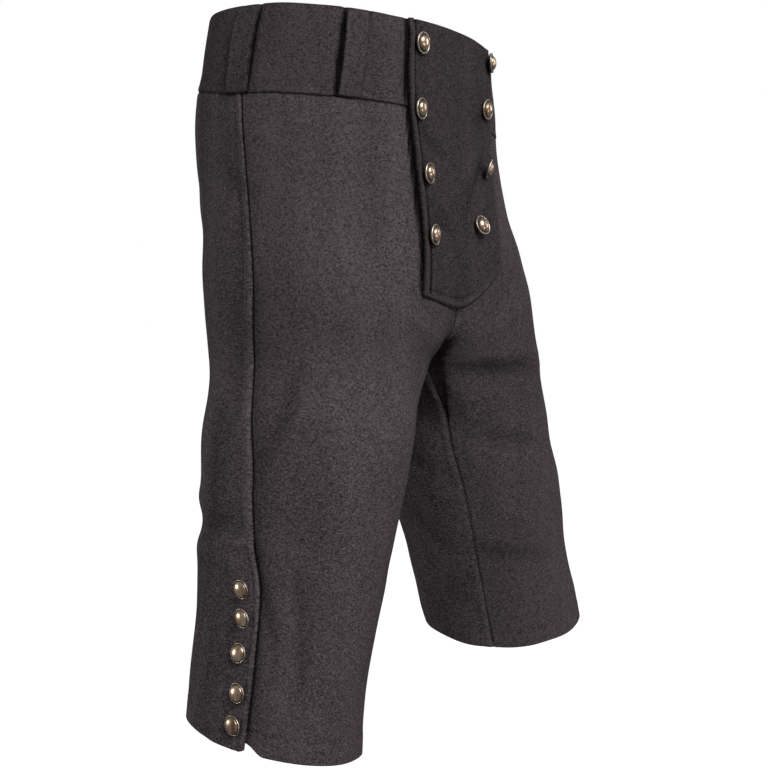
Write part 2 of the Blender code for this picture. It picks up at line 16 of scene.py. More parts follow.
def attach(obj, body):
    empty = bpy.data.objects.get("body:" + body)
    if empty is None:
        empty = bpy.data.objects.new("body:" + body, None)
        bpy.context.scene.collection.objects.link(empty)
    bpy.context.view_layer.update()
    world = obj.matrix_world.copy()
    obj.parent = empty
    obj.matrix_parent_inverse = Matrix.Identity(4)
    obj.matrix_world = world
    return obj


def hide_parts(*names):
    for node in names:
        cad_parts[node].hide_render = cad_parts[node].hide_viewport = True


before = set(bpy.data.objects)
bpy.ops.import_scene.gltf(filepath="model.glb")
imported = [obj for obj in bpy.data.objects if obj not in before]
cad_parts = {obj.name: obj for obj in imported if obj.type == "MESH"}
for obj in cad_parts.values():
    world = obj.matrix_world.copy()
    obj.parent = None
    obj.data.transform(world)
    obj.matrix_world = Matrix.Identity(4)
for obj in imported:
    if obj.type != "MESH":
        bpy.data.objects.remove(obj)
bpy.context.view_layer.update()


def make_table(fields, *rows):
    """Rows whose values are read by the fields' names."""
    kind = namedtuple("Row", fields)
    return tuple(kind(*row) for row in rows)


# Sizes in metres. They are the solids' own, but for how far the belt loops stand off, for the top
# left fall button and for the vent's lap, which starts higher here, is widest lower down and ends
# in a softer step.
WALL = 0.002
SEAM_GAP = 0.0003
LAY_GAP = 0.0003
BAND_HEIGHT = 0.075
BAND_RISE = 0.0155
BAND_RISE_START = 0.50
BAND_RISE_END = 0.77
SEAT_START = 0.150
CROTCH_DROP = 0.290
HEM_DROP = 0.565
CROTCH_Y = -0.074
WAIST_SLOPE = 0.041
WAIST_SLOPE_REACH = 0.150
SEAM_FADE = 0.060
STEP_U = 0.01
STEP_DROP = 0.005
STEP_OUT = 0.003
NEAR_SEAM = 0.25
BEND_REACH = 0.028
BEND_ROUND = 0.009
THIGH_EASE = 0.15
THIGH_EASE_END = 0.370
THIGH_EASE_START_U = 0.62
THIGH_EASE_SPAN = 0.20
SIDES = ("right", "left")
OUTWARD = {"right": -1.0, "left": 1.0}

TRUNK = make_table(
    "drop half front back front_power back_power side_turn lean",
    (0.000, 0.158, 0.1075, 0.1195, 1.93, 1.90, 2.0, 0.001),
    (0.045, 0.1700, 0.1073, 0.1182, 1.93, 1.88, 5.6, 0.001),
    (0.075, 0.1775, 0.107, 0.124, 1.93, 1.85, 8.0, 0.001),
    (0.150, 0.1795, 0.112, 0.123, 2.03, 1.75, 10.0, 0.008),
    (0.220, 0.1825, 0.1195, 0.1095, 2.08, 1.65, 12.5, 0.014),
    (0.290, 0.182, 0.1205, 0.100, 2.08, 1.70, 8.0, 0.008),
)
LEG = make_table(
    "drop out right_y left_y wide deep shear inseam_turn side_turn",
    (0.150, 0.0903, -0.0040, -0.0090, 0.0873, 0.1106, 0.00, 27.0, 5.0),
    (0.220, 0.0922, -0.0190, -0.0380, 0.0892, 0.1056, 0.00, 26.0, 5.5),
    (0.290, 0.0912, -0.0140, -0.0460, 0.0875, 0.0870, 0.00, 30.0, 8.5),
    (0.350, 0.1084, -0.0280, -0.0400, 0.0895, 0.0905, 0.04, 29.0, 6.0),
    (0.420, 0.1268, -0.0285, -0.0483, 0.0804, 0.0861, 0.08, 29.5, 11.0),
    (0.490, 0.1459, -0.0312, -0.0562, 0.0745, 0.0787, 0.11, 28.0, 17.0),
    (0.565, 0.1650, -0.0355, -0.0630, 0.0725, 0.0758, 0.14, 28.5, 16.0),
)
HemSet = namedtuple("HemSet", "outward backward lift")
HEM_SET = {
    "right": HemSet(0.214, 0.119, -0.0237),
    "left": HemSet(0.201, 0.121, 0.0077),
}
FALL_EDGE = make_table(
    "drop right left",
    (0.000, 0.0625, 0.0690),
    (0.040, 0.0660, 0.0710),
    (0.075, 0.0655, 0.0700),
    (0.105, 0.0620, 0.0665),
    (0.140, 0.0585, 0.0635),
    (0.170, 0.0560, 0.0620),
    (0.2155, 0.0600, 0.0600),
)
FALL_CORNER = {"right": 0.2215, "left": 0.1930}
FALL_POINT = 0.2155
FALL_EDGE_CURVE = 1.5
LOOP_WIDTH = 0.020
LOOP_WALL = 0.0016
LOOP_STAND_OFF = 0.00375
LOOP_BOW = 0.7
LOOP_TOP = 0.003
LOOP_BOTTOM = 0.0742
# The band is dented beside each loop and painted dark there as the loop's shadow, most on the loop's
# hollow side: 1 is towards the back
LOOPS = make_table(
    "name side u_top u_bottom hollow",
    ("belt_loop_side_right", "right", 0.482, 0.511, -1),
    ("belt_loop_front_right", "right", 0.242, 0.259, 1),
    ("belt_loop_side_left", "left", 0.482, 0.511, -1),
    ("belt_loop_front_left", "left", 0.345, 0.362, 1),
    ("belt_loop_back", "left", 1.0, 1.0, 1),
)
VENT_TOP = 0.418
VENT_RISE_LENGTH = 0.008
LAP_START = 0.414
LAP_WIDEST = 0.454
LAP_SETTLED = 0.505
LAP_REACH = 0.010
LAP_RETREAT = 0.0085
LAP_FLAT_END = 0.540
LAP_STEP = 0.026
HEM_CURVE_START = 0.455
HEM_CURVE_RISE = 0.0070
VENT_BUTTONS = make_table(
    "inset drop turn tip",
    (0.0065, 0.4535, 16.0, 18.0),
    (0.0057, 0.4730, 21.0, 16.0),
    (0.0095, 0.4985, 15.0, 3.0),
    (0.0070, 0.5250, 18.0, 9.0),
    (0.0066, 0.5465, 17.0, 15.0),
)
FALL_BUTTONS = make_table(
    "side out drop turn tip",
    ("right", 0.0525, 0.0195, 13.0, 7.0),
    ("right", 0.0560, 0.0765, 18.0, 5.0),
    ("right", 0.0495, 0.1315, 21.0, 4.0),
    ("right", 0.0475, 0.1740, 23.0, 5.0),
    ("left", 0.0615, 0.0135, 6.0, 0.0),
    ("left", 0.0530, 0.0585, -10.0, 4.0),
    ("left", 0.0390, 0.1145, 24.0, 24.0),
    ("left", 0.0245, 0.1640, -10.0, -14.0),
)
FALL_BUTTON_RADIUS = 0.0090
VENT_BUTTON_RADIUS = 0.0076
BUTTON_FOOT = 0.92
BUTTON_GAP = 0.0004

# One unit of u round a half ring, in metres, for laying out weave and widths
GIRTH = 0.47

# Folds and creases: each a ridge, or a trough when its height is negative, between two places
FOLD_FIELDS = "across0 down0 across1 down1 height width"
RIGHT_FOLDS = make_table(
    FOLD_FIELDS,
    (0.488, 0.374, 0.408, 0.298, -0.0036, 0.009),
    (0.44, 0.380, 0.36, 0.300, 0.0014, 0.014),
    (0.408, 0.450, 0.392, 0.536, -0.0032, 0.009),
    (0.365, 0.450, 0.350, 0.540, 0.0012, 0.014),
    (0.487, 0.450, 0.462, 0.490, -0.0020, 0.006),
    (0.66, 0.418, 0.52, 0.412, -0.0034, 0.009),
    (0.915, 0.374, 0.958, 0.390, -0.0024, 0.007),
    (0.885, 0.440, 0.950, 0.478, -0.0020, 0.008),
    (0.10, 0.236, 0.20, 0.215, -0.0012, 0.006),
    (0.08, 0.252, 0.22, 0.246, 0.0010, 0.007),
    (0.80, 0.262, 0.93, 0.240, -0.0014, 0.008),
    (0.78, 0.282, 0.90, 0.276, 0.0010, 0.008),
)
LEFT_FOLDS = make_table(
    FOLD_FIELDS,
    (0.24, 0.298, 0.04, 0.300, -0.0046, 0.009),
    (0.20, 0.371, 0.05, 0.360, -0.0030, 0.010),
    (0.20, 0.482, 0.02, 0.470, -0.0022, 0.009),
    (0.34, 0.420, 0.48, 0.412, -0.0030, 0.012),
    (0.52, 0.412, 0.66, 0.420, -0.0034, 0.009),
    (0.915, 0.370, 0.958, 0.394, -0.0024, 0.007),
    (0.890, 0.428, 0.955, 0.472, -0.0024, 0.008),
    (0.10, 0.226, 0.21, 0.196, -0.0012, 0.006),
    (0.08, 0.248, 0.22, 0.232, 0.0010, 0.007),
    (0.80, 0.258, 0.93, 0.238, -0.0014, 0.008),
    (0.78, 0.280, 0.90, 0.276, 0.0010, 0.008),
)
MIRRORED_FOLDS = make_table(
    FOLD_FIELDS,
    (0.014, 0.250, 0.010, 0.322, -0.0040, 0.009),
    (0.56, 0.130, 0.50, 0.162, -0.0022, 0.012),
    (0.54, 0.440, 0.66, 0.436, 0.0018, 0.013),
    (0.62, 0.398, 0.72, 0.404, 0.0016, 0.008),
    (0.70, 0.428, 0.60, 0.426, -0.0014, 0.007),
    (0.84, 0.405, 0.74, 0.414, -0.0016, 0.009),
)
FOLDS = {"right": RIGHT_FOLDS + MIRRORED_FOLDS, "left": LEFT_FOLDS + MIRRORED_FOLDS}
# What one unit of u and of drop count for in a fold's length and width
FOLD_SCALE = (0.5, 1.0)
# How much lower a fold is at its ends than in its middle
FOLD_TAPER = 0.5
# How much of a fold's height the colour follows, so that the folds' troughs are painted darker as
# shade
FOLD_PAINTED_SHADE = 0.10


def read(table, column, drop):
    """A column's value at each drop, on a smooth curve through the table's rows."""
    drops = np.array([row.drop for row in table])
    values = np.array([getattr(row, column) for row in table])
    at = np.clip(drop, drops[0], drops[-1])
    first = np.clip(np.searchsorted(drops, at, side="right") - 1, 0, len(drops) - 2)
    step = np.diff(values) / np.diff(drops)
    slope = np.concatenate((step[:1], (step[:-1] + step[1:]) / 2, step[-1:]))
    span = (drops[1:] - drops[:-1])[first]
    t = (at - drops[first]) / span
    start = (2 * t**3 - 3 * t**2 + 1) * values[first] + (t**3 - 2 * t**2 + t) * span * slope[first]
    end = (3 * t**2 - 2 * t**3) * values[first + 1] + (t**3 - t**2) * span * slope[first + 1]
    return start + end


def eased(value):
    """Zero below 0, one above 1, and a smooth rise between."""
    value = np.clip(value, 0.0, 1.0)
    return value * value * (3 - 2 * value)


def between(value, start, end):
    """The share of the way from start to end, eased at both."""
    return eased((value - start) / (end - start))


def unit(vectors):
    """Vectors of length one."""
    return vectors / np.linalg.norm(vectors, axis=-1, keepdims=True)


def rounded(value, power):
    """A sine or cosine for an oval of the given power, which is an ellipse at 2."""
    return np.sign(value) * np.abs(value) ** (2.0 / power)


def trunk_point(side, drop, u):
    """Distance from the centre plane and depth of the hips' surface."""
    turn = -np.radians(read(TRUNK, "side_turn", drop))
    early = -math.pi / 2 + (turn + math.pi / 2) * 2 * u
    late = turn + (math.pi / 2 - turn) * (2 * u - 1)
    angle = np.where(u <= 0.5, early, late)
    ahead = angle < 0
    front_power, back_power = read(TRUNK, "front_power", drop), read(TRUNK, "back_power", drop)
    power = np.where(ahead, front_power, back_power)
    depth = np.where(ahead, read(TRUNK, "front", drop), read(TRUNK, "back", drop))
    x = read(TRUNK, "half", drop) * rounded(np.cos(angle), power)
    y = depth * rounded(np.sin(angle), power)
    lean = OUTWARD[side] * read(TRUNK, "lean", drop) * np.sin(2 * math.pi * u) ** 2
    return x, y - np.where(u < 0.5, lean, 0.0)


def leg_point(side, drop, u):
    """The same of a leg's surface, then both from the leg's own middle."""
    inseam = -math.pi + np.radians(read(LEG, "inseam_turn", drop))
    seam = -np.radians(read(LEG, "side_turn", drop))
    early = inseam + (seam - inseam) * 2 * u
    late = seam + (inseam + 2 * math.pi - seam) * (2 * u - 1)
    angle = np.where(u <= 0.5, early, late)
    wide, deep, shear = (read(LEG, column, drop) for column in ("wide", "deep", "shear"))
    out, middle = read(LEG, "out", drop), read(LEG, side + "_y", drop)
    off_x = wide * np.cos(angle)
    off_y = deep * np.sin(angle) - shear * off_x
    seam_x = out + wide * np.cos(inseam)
    seam_y = middle + deep * np.sin(inseam) - shear * wide * np.cos(inseam)
    near = eased(np.minimum(u, 1 - u) / NEAR_SEAM)
    fade = 1 - eased((drop - CROTCH_DROP) / SEAM_FADE)
    y = middle + off_y + (CROTCH_Y - seam_y) * (1 - near) * fade
    ease = 1 - between(drop, CROTCH_DROP, THIGH_EASE_END)
    start = eased((u - THIGH_EASE_START_U) / THIGH_EASE_SPAN)
    away = THIGH_EASE * ease * start * eased(4 * (1 - u) / NEAR_SEAM)
    front_x = out + off_x - seam_x * (1 - near) * fade
    back_x = (out + off_x - np.minimum(off_x, 0.0) * away) * (1 - (1 - np.sqrt(near)) * fade)
    return np.where(u <= 0.5, front_x, back_x), y, off_x, y - middle


def sharp_point(side, drop, u):
    """Points of the outer surface with a sharp bend at the crotch, for arrays of drops and u."""
    angle = math.pi / 2 * np.clip((drop - SEAT_START) / (CROTCH_DROP - SEAT_START), 0.0, 1.0)
    share = 1 - np.cos(angle)
    curved = (drop > SEAT_START) & (drop < CROTCH_DROP)
    seam_drop = np.where(curved, SEAT_START + (CROTCH_DROP - SEAT_START) * np.sin(angle), drop)
    trunk_x, trunk_y = trunk_point(side, drop, u)
    leg_x, leg_y, off_x, off_y = leg_point(side, drop, u)
    x = trunk_x + (leg_x - trunk_x) * share
    y = trunk_y + (leg_y - trunk_y) * share
    z = -(seam_drop + (drop - seam_drop) * eased(np.minimum(u, 1 - u) / NEAR_SEAM))
    hem = HEM_SET[side]
    tip = between(drop, CROTCH_DROP, HEM_DROP)
    z = z + tip * (hem.lift + hem.outward * off_x + hem.backward * off_y)
    z = z + (1 - eased(drop / WAIST_SLOPE_REACH)) * WAIST_SLOPE * y
    return np.stack((OUTWARD[side] * (x + SEAM_GAP / 2), y, z), -1)


def bare_point(side, drop, u):
    """Points of the garment's outer surface without folds, rounded over the bend at the crotch."""
    drop, u = np.broadcast_arrays(np.asarray(drop, float), np.asarray(u, float))
    points = sharp_point(side, drop, u)
    bent = np.abs(drop - CROTCH_DROP) < BEND_REACH
    if bent.any():
        at_drop, at_u = drop[bent], u[bent]
        span = BEND_ROUND * (1 - eased(np.abs(at_drop - CROTCH_DROP) / BEND_REACH))
        steps = [sharp_point(side, at_drop + share * span, at_u) for share in (-1.0, -0.5, 0.5, 1.0)]
        points[bent] = (points[bent] + sum(steps)) / 5
    return points


def normal_at(side, drop, u):
    """The outward direction of the bare surface."""
    drop, u = np.broadcast_arrays(np.asarray(drop, float), np.asarray(u, float))
    step_u, step_drop = 0.004, 0.001
    closed = drop > CROTCH_DROP + step_drop
    before = np.where(closed, (u - step_u) % 1.0, np.maximum(u - step_u, 0.0))
    after = np.where(closed, (u + step_u) % 1.0, np.minimum(u + step_u, 1.0))
    round_way = bare_point(side, drop, after) - bare_point(side, drop, before)
    upper = np.maximum(drop - step_drop, 0.0)
    lower = np.minimum(drop + step_drop, HEM_DROP)
    down_way = bare_point(side, lower, u) - bare_point(side, upper, u)
    normal = np.cross(down_way, round_way) * OUTWARD[side]
    centre = ~closed & ((u <= 1e-6) | (u >= 1 - 1e-6))
    normal[..., 0] = np.where(centre, 0.0, normal[..., 0])
    crotch = centre & (drop > CROTCH_DROP - step_drop)
    normal[..., 1] = np.where(crotch, 0.0, normal[..., 1])
    return unit(normal)


def bump(distance, width):
    """One at a line and falling to nothing over a width to each side."""
    return np.exp(-((distance / width) ** 2))


def along_fold(fold, across, down, scale):
    """One fold's height at places on the cloth."""
    run = (fold.across1 - fold.across0) * scale[0], (fold.down1 - fold.down0) * scale[1]
    off = (across - fold.across0) * scale[0], (down - fold.down0) * scale[1]
    t = np.clip((off[0] * run[0] + off[1] * run[1]) / (run[0] ** 2 + run[1] ** 2), 0.0, 1.0)
    gap = np.hypot(off[0] - t * run[0], off[1] - t * run[1])
    return fold.height * (1 - FOLD_TAPER * (2 * t - 1) ** 2) * bump(gap, fold.width)


def fold_height(side, drop, u):
    """How far folds move the cloth out."""
    return sum(along_fold(fold, u, drop, FOLD_SCALE) for fold in FOLDS[side])


# Soft unevenness of worn cloth: waves of several lengths, each with a share of the height
WAVE_LENGTHS = (0.150, 0.095, 0.062, 0.041, 0.027)
WAVE_HEIGHTS = (0.00085, 0.00070, 0.00050, 0.00028, 0.00012)
WAVES_EACH = 5
# The waves' own fronts are bent by this much, at this many radians a metre
WAVE_BEND = 0.012
WAVE_BEND_RATE = 38.0
wave_dice = np.random.default_rng(11)


def make_waves():
    """Wave vectors in random directions, each with a phase and a height."""
    waves = []
    for length, height in zip(WAVE_LENGTHS, WAVE_HEIGHTS):
        for _ in range(WAVES_EACH):
            way = unit(wave_dice.normal(size=3))
            stretch = length * wave_dice.uniform(0.8, 1.25)
            waves.append((way * 2 * math.pi / stretch, wave_dice.uniform(0, 6.28), height))
    return waves


WAVES = make_waves()


def unevenness(points):
    """A smooth height field over points in space."""
    bent = points + WAVE_BEND * np.sin(points[..., [1, 2, 0]] * WAVE_BEND_RATE + 1.3)
    total = np.zeros(points.shape[:-1])
    for way, phase, height in WAVES:
        total = total + height * np.sin(bent @ way + phase)
    return total / math.sqrt(WAVES_EACH)


def band_rise(u):
    """How much narrower the waistband is than at the front."""
    return BAND_RISE * between(u, BAND_RISE_START, BAND_RISE_END)


def lap_edge(drop):
    """Where the back panel's front edge lies, lapping over the front panel at the vent."""
    forward = LAP_REACH * between(drop, LAP_START, LAP_WIDEST)
    back = LAP_RETREAT * between(drop, LAP_WIDEST, LAP_SETTLED)
    return 0.5 - forward + back


def lap_rise(drop, u):
    """How far the vent's lap lifts the back panel above the front one."""
    start = eased((drop - VENT_TOP) / VENT_RISE_LENGTH)
    return (WALL + LAY_GAP) * start * (1 - eased((u - LAP_FLAT_END) / LAP_STEP))


# The trough beside the fall is painted dark as the shadow under the fall's edge. It is hidden on the
# wearer's left, where the fall lies close
FALL_TROUGH = {"right": 0.0013, "left": 0.0003}
TROUGH_AT = 0.0004
TROUGH_WIDTH = 0.0018
# How far round, as u, the hollow beside the inseam reaches at each drop; it is painted near-black
# there as shade
HOLLOW_REACH = ((0.240, 0.016), (0.260, 0.024), (0.303, 0.040), (0.330, 0.014), (0.350, 0.004))
HOLLOW_EDGE = 0.005
HOLLOW_DEPTH = 0.0013
# How far round, as u, the front rise is painted darker as shade, through a slight dent that the
# colour follows
SHADED_RISE = {"right": 0.12, "left": 0.40}
RISE_DEPTH = 0.0003
# Drops at which these and the swellings of the side seam begin and end
Zone = namedtuple("Zone", "top foot fade")
TROUGH_ZONE = Zone(-1.0, 0.208, 0.02)
HOLLOW_ZONE = Zone(0.236, 0.335, 0.020)
RISE_ZONE = Zone(0.14, 0.30, 0.06)
LOW_SIDE_ZONE = Zone(0.19, 1.0, 0.06)
VENT_FADE = 0.008
HEM_LINE = 0.549

# Ridges and grooves along seams and edges. The middle of each lies at a distance from the line.
# Their grooves are painted dark as shade, and their high ridges lighter, partly as rubbing and
# partly as highlight.
LINES = make_table(
    "kinds along height at width",
    ("front", "side", -0.0010, 0.0, 0.0014),
    ("back", "side", -0.0006, 0.0, 0.0008),
    ("front", "lap", -0.0010, 0.0003, 0.0015),
    ("back", "lap", 0.0012, 0.0, 0.0050),
    ("back", "lap", -0.0006, 0.0, 0.0008),
    ("back", "lap", -0.0007, 0.0045, 0.0011),
    ("front, back", "inseam", -0.0006, 0.0, 0.0012),
    ("front", "inseam", 0.00021, 0.0032, 0.0022),
    ("back", "inseam", 0.0006, 0.0032, 0.0022),
    ("front, back", "band_seam", -0.0008, 0.0, 0.0014),
    ("front, back", "hem", -0.0002, 0.0, 0.0011),
    ("band", "band_seam", -0.0009, 0.0, 0.0010),
    ("band", "waist", -0.0006, 0.0, 0.0012),
    ("fall", "rim", 0.0009, 0.0026, 0.0022),
    ("fall", "rim", -0.0006, 0.0, 0.0008),
    ("fall", "foot", -0.0005, 0.0065, 0.0010),
    ("loop", "rim", 0.0003, 0.0020, 0.0018),
    ("loop", "rim", -0.0007, 0.0, 0.0008),
)
# Swellings that stay level up to a distance from the seam or edge and end a length beyond it. Their
# rises are painted lighter as highlight and their dips darker as shade.
SWELLS = make_table(
    "kinds along height level length",
    ("back", "side", 0.0012, 0.0030, 0.0040),
    ("back", "side", -0.0012, 0.0, 0.0012),
    ("back", "low_side", 0.0006, 0.0, 0.015),
    ("front", "low_side", -0.0004, 0.0, 0.018),
    ("front", "lap", -0.0004, 0.0, 0.014),
    ("front, back", "hem", 0.0002, -0.0042, 0.003),
    ("band", "band_seam", 0.0004, 0.002, 0.005),
)
# Small waves that the thread draws into the cloth, so many radians for one unit of u, with their
# distance from the seam or hem and how far they reach
Pucker = namedtuple("Pucker", "height waves wander wander_waves at width")
PANEL_PUCKER = Pucker(0.00022, 260.0, 3.0, 37.0, 0.0, 0.009)
HEM_PUCKER = Pucker(0.00022, 330.0, 2.0, 51.0, 0.004, 0.007)
BAND_PUCKER = Pucker(0.0002, 240.0, 0.0, 0.0, 0.006, 0.006)
# The band's hollows beside a belt loop, painted dark as the loop's shadow, the first on its hollow
# side
LoopGroove = namedtuple("LoopGroove", "way depth at width")
LOOP_GROOVES = (LoopGroove(1, 0.0017, 0.0012, 0.0020), LoopGroove(-1, 0.0007, 0.0006, 0.0009))
BAND_GIRTH = 0.44


def within(zone, drop):
    """One inside a zone, with a smooth fade after its top and its foot."""
    return eased((drop - zone.top) / zone.fade) * (1 - eased((drop - zone.foot) / zone.fade))


def puckered(pucker, u):
    """A pucker's waves round the garment."""
    wander = pucker.wander * np.sin(u * pucker.wander_waves)
    return pucker.height * np.sin(u * pucker.waves + wander)


def loop_hollows(side, drop, u):
    """How deep the band is pressed in beside its belt loops, so that it is painted dark there as
    their shadow.
    """
    total = 0.0
    share = (drop - LOOP_TOP) / (LOOP_BOTTOM - LOOP_TOP)
    for loop in LOOPS:
        if loop.side == side and loop.u_top < 1.0:
            from_loop = (u - loop.u_top - (loop.u_bottom - loop.u_top) * share) * BAND_GIRTH
            for groove in LOOP_GROOVES:
                beyond = groove.way * loop.hollow * from_loop - LOOP_WIDTH / 2
                total = total + groove.depth * bump(beyond - groove.at, groove.width)
    return total


def lines_height(kind, places):
    """The height of a piece's ridges and grooves. The places give for each line the distance from
    it and the share of it that is there."""
    total = 0.0
    for line in LINES:
        if kind in line.kinds:
            distance, share = places[line.along]
            total = total + line.height * share * bump(distance - line.at, line.width)
    return total


def relief(kind, side, drop, u, points):
    """The sewn form of a front or back panel or the band: its seams, edges and puckers, and dents
    that are painted dark as shade beside the inseam, at the front rise, beside the fall and beside
    the belt loops.
    """
    lift = np.zeros(points.shape[:-1])
    vent = eased((drop - VENT_TOP + VENT_FADE / 2) / VENT_FADE)
    from_side = np.abs(u - 0.5) * GIRTH
    from_lap = (u - lap_edge(drop)) * GIRTH
    from_band = np.abs(drop - (BAND_HEIGHT - band_rise(u)))
    low_side = (1 - vent) * within(LOW_SIDE_ZONE, drop)
    places = {
        "side": (from_side, 1 - vent),
        "low_side": (from_side, low_side),
        "lap": (from_lap if kind == "back" else -from_lap, vent),
        "inseam": (np.minimum(u, 1 - u) * GIRTH, 1.0),
        "band_seam": (from_band, 1.0),
        "hem": (HEM_LINE - drop, 1.0),
        "waist": (drop, 1.0),
    }
    lift += lines_height(kind, places)
    for swell in SWELLS:
        if kind in swell.kinds:
            distance, share = places[swell.along]
            lift += swell.height * share * (1 - eased((distance - swell.level) / swell.length))
    if kind == "front":
        # The hollow beside the inseam and the front rise are dented in so that they are painted
        # darker there as shade
        reach = np.interp(drop, *zip(*HOLLOW_REACH))
        hollow = HOLLOW_DEPTH * within(HOLLOW_ZONE, drop)
        lift -= hollow * eased((reach - u) / HOLLOW_EDGE)
        rise = RISE_DEPTH * within(RISE_ZONE, drop)
        lift -= rise * eased((SHADED_RISE[side] - u) / SHADED_RISE[side])
    if kind in ("front", "band"):
        # The trough beside the fall's edge is painted dark as the fall's shadow
        from_fall = np.abs(points[..., 0]) - read(FALL_EDGE, side, drop)
        trough = FALL_TROUGH[side] * bump(from_fall - TROUGH_AT, TROUGH_WIDTH)
        lift -= trough * within(TROUGH_ZONE, drop)
    if kind == "band":
        lift -= loop_hollows(side, drop, u)
        lift += puckered(BAND_PUCKER, u) * bump(from_band - BAND_PUCKER.at, BAND_PUCKER.width)
    else:
        lift += puckered(PANEL_PUCKER, u) * np.exp(-from_band / PANEL_PUCKER.width)
        below = drop - HEM_LINE - HEM_PUCKER.at
        lift += puckered(HEM_PUCKER, u) * bump(below, HEM_PUCKER.width)
    return lift


def cloth_points(kind, side, drop, u, out=0.0):
    """Outer points of a piece with its folds and relief, the folded base, the directions, and the
    height that its colour follows: the relief and a share of the folds, whose troughs are thus
    painted darker as shade."""
    base = bare_point(side, drop, u)
    normal = normal_at(side, drop, u)
    folds = fold_height(side, drop, u)
    base = base + normal * (folds + unevenness(base) + out)[..., None]
    fine = relief(kind, side, drop, u, base)
    return base + normal * fine[..., None], base, normal, fine + FOLD_PAINTED_SHADE * folds


# The spacing of a grid's points, the finer one near its ends and how far that reaches
Spacing = namedtuple("Spacing", "main fine reach")


def graded(start, end, spacing, metres=1.0, ends="both"):
    """Positions from start to end, closer together near the ends that are named. A step of one
    stands for so many metres."""
    main, fine, reach = (length / metres for length in spacing)
    parts = [np.linspace(start, end, max(int(round((end - start) / main)) + 1, 2))]
    if ends in ("both", "start"):
        parts.append(np.arange(start, start + reach, fine))
    if ends in ("both", "end"):
        parts.append(np.arange(end, end - reach, -fine))
    merged = np.unique(np.round(np.concatenate(parts), 7))
    merged = merged[np.concatenate(([True], np.diff(merged) > fine * 0.45))]
    merged[-1] = end
    return merged


def linked(name, data):
    """A new object with this data, in the scene."""
    thing = bpy.data.objects.new(name, data)
    bpy.context.scene.collection.objects.link(thing)
    return thing


def dress(piece, node):
    """Gives a piece its body and hides the solid whose place it takes."""
    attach(piece, "root")
    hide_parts(node)
    return piece


def grid_faces(index, flip):
    """Quads over a grid of points, given their numbers in rows and columns."""
    corners = (index[:-1, :-1], index[:-1, 1:], index[1:, 1:], index[1:, :-1])
    quads = np.stack(corners, -1).reshape(-1, 4)
    return quads[:, ::-1] if flip else quads


def make_object(name, points, faces, uvs, finish, wear=None):
    """A smooth object from points, quads, a cloth UV and, for each point, a value of painted shade
    and rubbing for its colour.
    """
    mesh = bpy.data.meshes.new(name)
    mesh.vertices.add(len(points))
    mesh.vertices.foreach_set("co", np.ascontiguousarray(points, dtype=np.float32).ravel())
    mesh.loops.add(faces.size)
    mesh.loops.foreach_set("vertex_index", np.ascontiguousarray(faces, dtype=np.int32).ravel())
    mesh.polygons.add(len(faces))
    mesh.polygons.foreach_set("loop_start", np.arange(0, faces.size, faces.shape[1], dtype=np.int32))
    mesh.update(calc_edges=True)
    layer = mesh.uv_layers.new(name="cloth")
    layer.data.foreach_set("uv", np.ascontiguousarray(uvs[faces.ravel()], dtype=np.float32).ravel())
    shade_and_wear_layer = mesh.attributes.new("wear", "FLOAT", "POINT")
    shade_and_wear_layer.data.foreach_set("value", np.zeros(len(points)) if wear is None else wear)
    mesh.materials.append(finish)
    mesh.validate()
    mesh.shade_smooth()
    return linked(name, mesh)


# The relief that counts as fully rubbed and lighter, or fully dark as painted shade, and the angle
# of a sharp edge
SHADE_AND_WEAR_HEIGHT = 0.0012
SHARP_ANGLE = math.radians(62)


def shell(name, outer, inner, uvs, flip, finish, fine):
    """A closed cloth wall between an outer and an inner grid of points. Its colour follows the fine
    relief: one on the ridges, painted lighter partly as rubbing and partly as highlight, and minus
    one in the grooves, painted dark as shade."""
    points = np.concatenate((outer.reshape(-1, 3), inner.reshape(-1, 3)))
    index = np.arange(len(points) // 2).reshape(outer.shape[:2])
    rim = np.concatenate((index[0], index[1:, -1], index[-1, -2::-1], index[-2:0:-1, 0]))
    following = np.roll(rim, -1)
    sides = np.stack((following, rim, rim + index.size, following + index.size), -1)
    sides = sides[:, ::-1] if flip else sides
    both = grid_faces(index, flip), grid_faces(index + index.size, not flip)
    faces = np.concatenate((*both, sides))
    both_uvs = np.tile(uvs.reshape(-1, 2), (2, 1))
    wear = np.clip(fine / SHADE_AND_WEAR_HEIGHT, -1.0, 1.0).ravel()
    thing = make_object(name, points, faces, both_uvs, finish, np.concatenate((wear, 0 * wear)))
    thing.data.set_sharp_from_angle(angle=SHARP_ANGLE)
    return thing


# Materials
def new_material(name):
    """A new material with its node tree and shader."""
    made = bpy.data.materials.new(name)
    made.use_nodes = True
    return made, made.node_tree, made.node_tree.nodes["Principled BSDF"]


def set_inputs(tree, node, inputs):
    """Gives a node's inputs their values, or links them to other nodes' outputs."""
    for key, value in inputs.items():
        if isinstance(value, bpy.types.NodeSocket):
            tree.links.new(value, node.inputs[key])
        else:
            node.inputs[key].default_value = value


def add_node(tree, kind, inputs, output=0, **settings):
    """One output of a new node with these inputs and settings."""
    made = tree.nodes.new(kind)
    for key, value in settings.items():
        setattr(made, key, value)
    set_inputs(tree, made, inputs)
    return made.outputs[output]


def ramp(tree, source, low, high, low_value=0.0, high_value=1.0):
    """A value that follows the source from one value at low to another at high."""
    span = {"From Min": low, "From Max": high, "To Min": low_value, "To Max": high_value}
    return add_node(tree, "ShaderNodeMapRange", {"Value": source, **span})


def combine(tree, operation, first, second):
    return add_node(tree, "ShaderNodeMath", {0: first, 1: second}, operation=operation)


def blend(tree, parts):
    """The sum of sources, each times its share."""
    total = None
    for source, share in parts:
        part = combine(tree, "MULTIPLY", source, share)
        total = combine(tree, "ADD", total, part) if total else part
    return total


